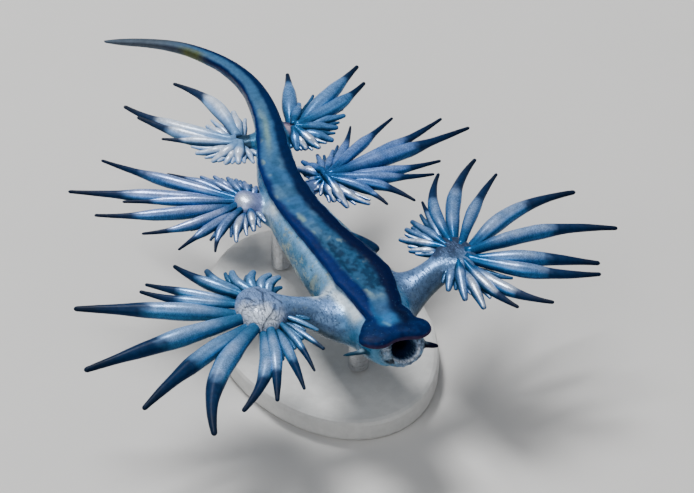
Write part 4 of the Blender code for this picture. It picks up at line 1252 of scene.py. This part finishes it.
def plate_material():
    """Satin off-white acrylic with a faint grain."""
    made, tree, shader, where = new_material("satin_plate", 0.35)
    tone = noise(tree, where, 0.6, 4.0, 0.6)
    colour = blend(tree, ease(tree, tone, 0.35, 0.65), (0.74, 0.74, 0.72), (0.80, 0.80, 0.78))
    tree.links.new(colour, shader.inputs["Base Color"])
    set_bump(tree, shader, noise(tree, where, 0.12, 3.0), 0.01)
    tree.links.new(ease(tree, tone, 0.3, 0.7, 0.3, 0.42), shader.inputs["Roughness"])
    return made


def rod_material():
    """Fine brushed steel, its lines running round the rod."""
    made, tree, shader, where = new_material("brushed_rod", 0.3, metallic=1.0)
    lines = noise(tree, stretched(tree, where, (0.2, 0.2, 3.0)), 0.15, 4.0, 0.7)
    colour = blend(tree, lines, (0.50, 0.51, 0.53), (0.68, 0.69, 0.71))
    tree.links.new(colour, shader.inputs["Base Color"])
    set_bump(tree, shader, lines, 0.008)
    tree.links.new(ease(tree, lines, 0.3, 0.7, 0.24, 0.4), shader.inputs["Roughness"])
    return made


# Pieces.


def build_skin(material):
    """The skin of the body, foot, head, feelers, arms and palms, with its zones of colour."""
    mesh = fused(skin_shapes())
    points = relaxed(mesh, rows_of(mesh.vertices, "co"), 1.0, SKIN_ROUNDS)
    points = relaxed(mesh, points, web_weight(points), WEB_ROUNDS)
    set_points(mesh, points)
    points = points + rows_of(mesh.vertex_normals, "vector") * lip_height(points)[:, None]
    set_points(mesh, points)
    normals = rows_of(mesh.vertex_normals, "vector")
    skin = painted_skin(points, normals)
    lumps = (grain(points, 0.30, 11) - 0.5) * 0.07 * np.clip(skin.grainy - 0.6, 0, 1)
    folds = (grain(points * (1.0, 1.0, 2.0), 0.8, 13) - 0.5) * 0.04 * (1 - skin.blue)
    set_points(mesh, place(points + normals * (lumps + folds)[:, None]))
    store(mesh, "zone_colour", skin.colour)
    for name in ("mottles", "cracks", "lines", "specks", "shine", "rough", "grainy"):
        store(mesh, name, getattr(skin, name))
    return piece(
        "slug_skin", mesh, material, "flank_skin", "head", "oral_tentacle_left",
        "oral_tentacle_right", "rhinophore_left", "rhinophore_right", "foot_front", "foot_middle",
        "foot_rear", "body_front", "body_middle", "body_rear", "tail_base", "tail_middle", "tail_tip",
        "arm_front_left", "arm_front_right",
    )


def ceras_rings(fan, seed):
    """Rings of every ceras of a fan. A ceras runs from inside the palm along its heading, bowed to one
    side as half a sine, and its half width swells to its widest past a third and falls to a round tip."""
    place_turn, heading, length, bow = np.array(fan["rows"] + fan["small"], float).T
    small = np.arange(len(length)) >= len(fan["rows"])
    place_turn, heading = np.radians(place_turn), np.radians(heading)
    draw = np.random.RandomState(seed)
    count = len(length)
    middle = np.array(fan["palm"])
    wide, deep, _ = fan["palm_size"]
    spoke = np.stack([wide * np.cos(place_turn), deep * np.sin(place_turn), np.zeros(count)], axis=1)
    tip = np.stack([np.cos(heading), np.sin(heading), np.zeros(count)], axis=1) * length[:, None]
    tip += middle + spoke * CERAS_RIM
    root_share, root_rise = fan["root"]
    root = middle + spoke * root_share
    root[:, 2] -= SMALL_DROP * small
    spoke /= np.linalg.norm(spoke, axis=1)[:, None]
    way = tip - root
    length = np.linalg.norm(way, axis=1)
    way /= length[:, None]
    side = np.stack([-way[:, 1], way[:, 0], np.zeros(count)], axis=1)
    hook = -0.6 * bow + draw.uniform(-0.02, 0.02, count)
    stagger = np.where(np.arange(count) % 2, CERAS_STAGGER, -CERAS_STAGGER)
    rise = draw.uniform(-0.15, 0.15, count)

    run = np.linspace(0.0, 1.0, CERAS_RINGS)
    start = -CERAS_SUNK / length
    t = start[:, None] + (0.9995 - start[:, None]) * (1 - (1 - run) ** 1.5)
    out = np.clip(t, 0.0, None)
    reach = (length[:, None] * out)[..., None] * way[:, None]
    reach += (length[:, None] * np.clip(t, None, 0.0))[..., None] * spoke[:, None]
    lean = bow[:, None] * np.sin(math.pi * out) + hook[:, None] * (out**4 - out)
    path = root[:, None] + reach + (lean * length[:, None])[..., None] * side[:, None]
    path[..., 2] += (stagger[:, None] + root_rise) * (1 - out) ** 2 + rise[:, None] * out**2
    path[..., 2] += 0.12 * np.sin(math.pi * out) * np.minimum(length / 8, 1.0)[:, None]

    widest = np.maximum(CERAS_LEAST_HALF_WIDTH, CERAS_HALF_WIDTH + CERAS_HALF_WIDTH_PER_LENGTH * length)
    widest *= np.concatenate([fan["widths"], np.full(len(fan["small"]), SMALL_WIDTH)])
    long_shape = np.interp(out, *CERAS_LONG_SHAPE)
    short_shape = np.interp(out, *CERAS_SHORT_SHAPE)
    shape = np.where((length < 4.0)[:, None], short_shape, long_shape)
    shape = shape * (1 - fan["whip"] * step(out, fan["dark_from"] - 0.12, fan["dark_from"] + 0.08))
    from_tip = (1 - out) * length[:, None] / (0.30 * widest[:, None])
    shape = shape * np.sqrt(np.clip(1 - np.clip(1 - from_tip, 0.0, 1.0) ** 2, 0.0, 1.0))
    ripple = 1 + 0.03 * np.sin(out * (length[:, None] * 2.2) + draw.uniform(0, 6, count)[:, None])
    half = widest[:, None] * shape * ripple

    along = np.gradient(path, axis=1)
    along /= np.linalg.norm(along, axis=2)[..., None]
    level = np.stack([-along[..., 1], along[..., 0], np.zeros(t.shape)], axis=2)
    level /= np.linalg.norm(level, axis=2)[..., None]
    upright = np.cross(along, level)
    angle = angles(CERAS_SIDES)
    ridge = 1 + 0.10 * np.clip(np.sin(angle), 0, None) ** 3
    rings = (
        path[:, :, None]
        + (half[..., None] * np.cos(angle))[..., None] * level[:, :, None]
        + (half[..., None] * CERAS_FLATNESS * np.sin(angle) * ridge)[..., None] * upright[:, :, None]
    )
    place_turn = np.degrees(place_turn) % 360
    highlit = np.zeros(count, bool)
    for low, high in fan["highlit"]:
        highlit |= (place_turn - low) % 360 <= high - low
    return rings, out, np.sin(angle), length, highlit, small, draw


def ceras_values(name, out, height, own, size, mottle, fleck, highlit, small):
    """Colour, specks, shine and roughness of a fan's points: a blade with a pale ridge that is partly
    painted highlight, painted highlight streaks on some, painted shade on the underside, at the roots,
    in the gaps between the roots and on the small cerata, and a dark tip. out runs from root to tip and
    height from -1 underneath to 1 on the ridge."""
    blade, ridge, under = CERAS_COLOURS[name]
    short = 1 - step(size, 4.5, 6.5)
    # Pale ridge on top: partly the ridge's own pale stripe, partly painted highlight.
    ridge_and_highlight = step(height, 0.5, 1.0) * step(out, 0.06, 0.26) * (0.55 + 0.7 * (mottle - 0.3))
    ridge_and_highlight = ridge_and_highlight * (0.6 + 0.5 * own) * (1 - 0.45 * small) * (1 - 0.35 * short)
    colour = mix(blade, ridge, np.clip(ridge_and_highlight, 0, 1))
    # Painted highlight streaks along the crest of the highlit cerata.
    highlight_streak = step(height, 0.72, 1.0) * step(out, 0.15, 0.4) * (0.5 + 0.6 * fleck) * (1 - 0.4 * small)
    colour = mix(colour, PEARL_HIGHLIGHT, np.clip(highlight_streak, 0, 0.95) * highlit)
    # Painted shade toward the underside.
    colour = mix(colour, under, step(-height, -0.45, 0.2))
    colour = mix(colour, SILVER, step(-height, 0.5, 0.95) * 0.4)
    # Painted shade at the roots.
    root = 1 - step(out, 0.03, 0.25)
    colour = mix(colour, mix(under, blade, 0.3), root * 0.6)
    # Painted shade in the gaps between the roots, and the small cerata below made darker as painted shade
    # where they fill the gaps.
    gap = 1 - step(out - 0.42 * short, 0.12, 0.55)
    gap = gap * step(-height, -0.80 - 0.12 * short, -0.2 - 0.25 * short)
    below = small * (1 - highlit) * (0.8 - 0.4 * step(out, 0.5, 0.9))
    colour = mix(colour, CERAS_GAP_SHADE, np.maximum(gap * (0.55 + 0.35 * short), below))
    dark_from = FANS[name]["dark_from"] + 0.22 * (1 - step(size, 3.0, 5.5)) - 0.08 * step(size, 8.0, 11.0)
    dark_from = dark_from + 0.08 * (own - 0.5)
    tip = step(out + 0.07 * (mottle - 0.5) + 0.04 * (fleck - 0.5), dark_from - 0.05, dark_from + 0.06)
    # Short highlit cerata lose most of their dark tip, as part of the painted highlight.
    tip = tip * (0.25 + 0.75 * step(size, 2.6, 4.0)) * (1 - 0.7 * highlit * (size < 4.5))
    colour = mix(colour, mix(TIP_BLUE, TIP_INK, step(out, 0.68, 0.95)), tip * 0.97)
    specks = (1 - tip) * np.clip(1 - step(out, 0.05, 0.5) + step(-height, -0.5, 0.2) * 0.6, 0, 1)
    return {
        "blade_colour": colour,
        "specks": specks * CERAS_SPECKLES[name],
        "shine": CERAS_SHINE[name] * (1 - tip),
        "rough": 0.25 + 0.08 * tip,
    }


def with_ends(values):
    """The values of every ring's points, and for each ceras those of its two end points, which are the
    means of its first and last rings."""
    ends = np.stack([values[:, 0].mean(axis=1), values[:, -1].mean(axis=1)], axis=1)
    tail = values.shape[3:]
    return np.concatenate([values.reshape(len(values), -1, *tail), ends], axis=1).reshape(-1, *tail)


def build_fan(name, seed):
    """One fan of cerata, each closed, with its colour from root to tip and from ridge to underside."""
    rings, out, height, length, highlit, small, draw = ceras_rings(FANS[name], seed)
    points, faces = tubes(rings)
    shape = rings.shape[:3]
    out = np.broadcast_to(out[..., None], shape)
    height = np.broadcast_to(height, shape)
    own = draw.uniform(0, 1, len(length))
    own, size, highlit, small = (
        np.broadcast_to(values[:, None, None], shape) for values in (own, length, highlit, small)
    )
    flat = rings.reshape(-1, 3)
    mottle = grain(flat, 0.5, 21).reshape(shape)
    fleck = grain(flat, 0.2, 23).reshape(shape)
    mesh = mesh_of(name + "_fingers", place(points), faces)
    for key, values in ceras_values(name, out, height, own, size, mottle, fleck, highlit, small).items():
        store(mesh, key, with_ends(values))
    return piece(name + "_fingers", mesh, ceras_material(name + "_pearl"), "cerata_skin", name)


def dress_stand():
    """The base plate and the rods keep their solids and take a finish."""
    plate, rod = plate_material(), rod_material()
    for name, material in (("stand_base", plate), ("stand_rod_front", rod), ("stand_rod_rear", rod)):
        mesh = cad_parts[name].data
        mesh.materials.clear()
        mesh.materials.append(material)


# The studio: floor, light and camera.

CAMERA_AROUND = -25.0
CAMERA_UP = 40.0
CAMERA_DISTANCE = 240.0
LENS = 201.7
NEAREST_SEEN, FURTHEST_SEEN = 0.01, 10.0
FLOOR_REACH = 1.5
WORLD_COLOUR = (0.85, 0.9, 1.0, 1.0)
WORLD_STRENGTH = 0.13
# Lights: how far round and up in degrees, distance and size in metres, and power in watts.
LIGHTS = {
    "key": (-176.0, 63.0, 0.38, 0.11, 1.45),
    "front": (-60.0, 46.0, 0.45, 0.34, 0.80),
    "fill": (70.0, 35.0, 0.50, 0.30, 0.25),
}


def spot_around(around, up, distance):
    """The place at this distance from the foot's middle, by its angles round it and above it."""
    a, e = math.radians(around), math.radians(up)
    way = np.array([math.sin(a) * math.cos(e), -math.cos(a) * math.cos(e), math.sin(e)])
    return FOOT_MIDDLE * MM + distance * way


def look_at(made, spot, target):
    """Puts a light or the camera on its spot and turns it to the target."""
    made.location = spot
    made.rotation_euler = (Vector(target) - Vector(spot)).to_track_quat("-Z", "Y").to_euler()


def add_light(name, around, up, distance, size, power):
    """A square soft light aimed at the animal."""
    light = bpy.data.lights.new(name, "AREA")
    light.size = size
    light.energy = power
    made = bpy.data.objects.new(name, light)
    bpy.context.scene.collection.objects.link(made)
    look_at(made, spot_around(around, up, distance), FOOT_MIDDLE * MM)


def build_floor():
    """A plain pale floor."""
    corners = [(x * FLOOR_REACH, y * FLOOR_REACH, 0) for x, y in ((-1, -1), (1, -1), (1, 1), (-1, 1))]
    mesh = mesh_of("floor", corners, [(0, 1, 2, 3)])
    floor = bpy.data.objects.new("floor", mesh)
    bpy.context.scene.collection.objects.link(floor)
    made, tree, shader, where = new_material("pale_floor", 0.6)
    tone = noise(tree, where, 8.0, 3.0)
    colour = blend(tree, tone, (0.72, 0.71, 0.69), (0.75, 0.74, 0.72))
    tree.links.new(colour, shader.inputs["Base Color"])
    mesh.materials.append(made)


def build_studio():
    """The floor, the light all round, the three soft lights and the camera."""
    build_floor()
    world = bpy.data.worlds.new("studio")
    world.use_nodes = True
    background = world.node_tree.nodes["Background"]
    background.inputs["Color"].default_value = WORLD_COLOUR
    background.inputs["Strength"].default_value = WORLD_STRENGTH
    bpy.context.scene.world = world
    for name, sizes in LIGHTS.items():
        add_light(name, *sizes)

    camera = bpy.data.cameras.new("camera")
    camera.lens = LENS
    camera.clip_start = NEAREST_SEEN
    camera.clip_end = FURTHEST_SEEN
    made = bpy.data.objects.new("camera", camera)
    bpy.context.scene.collection.objects.link(made)
    look_at(made, spot_around(CAMERA_AROUND, CAMERA_UP, CAMERA_DISTANCE * MM), FOOT_MIDDLE * MM)
    bpy.context.scene.camera = made


build_skin(skin_material())
for seed, fan_name in enumerate(FANS):
    build_fan(fan_name, seed + 1)
dress_stand()
build_studio()
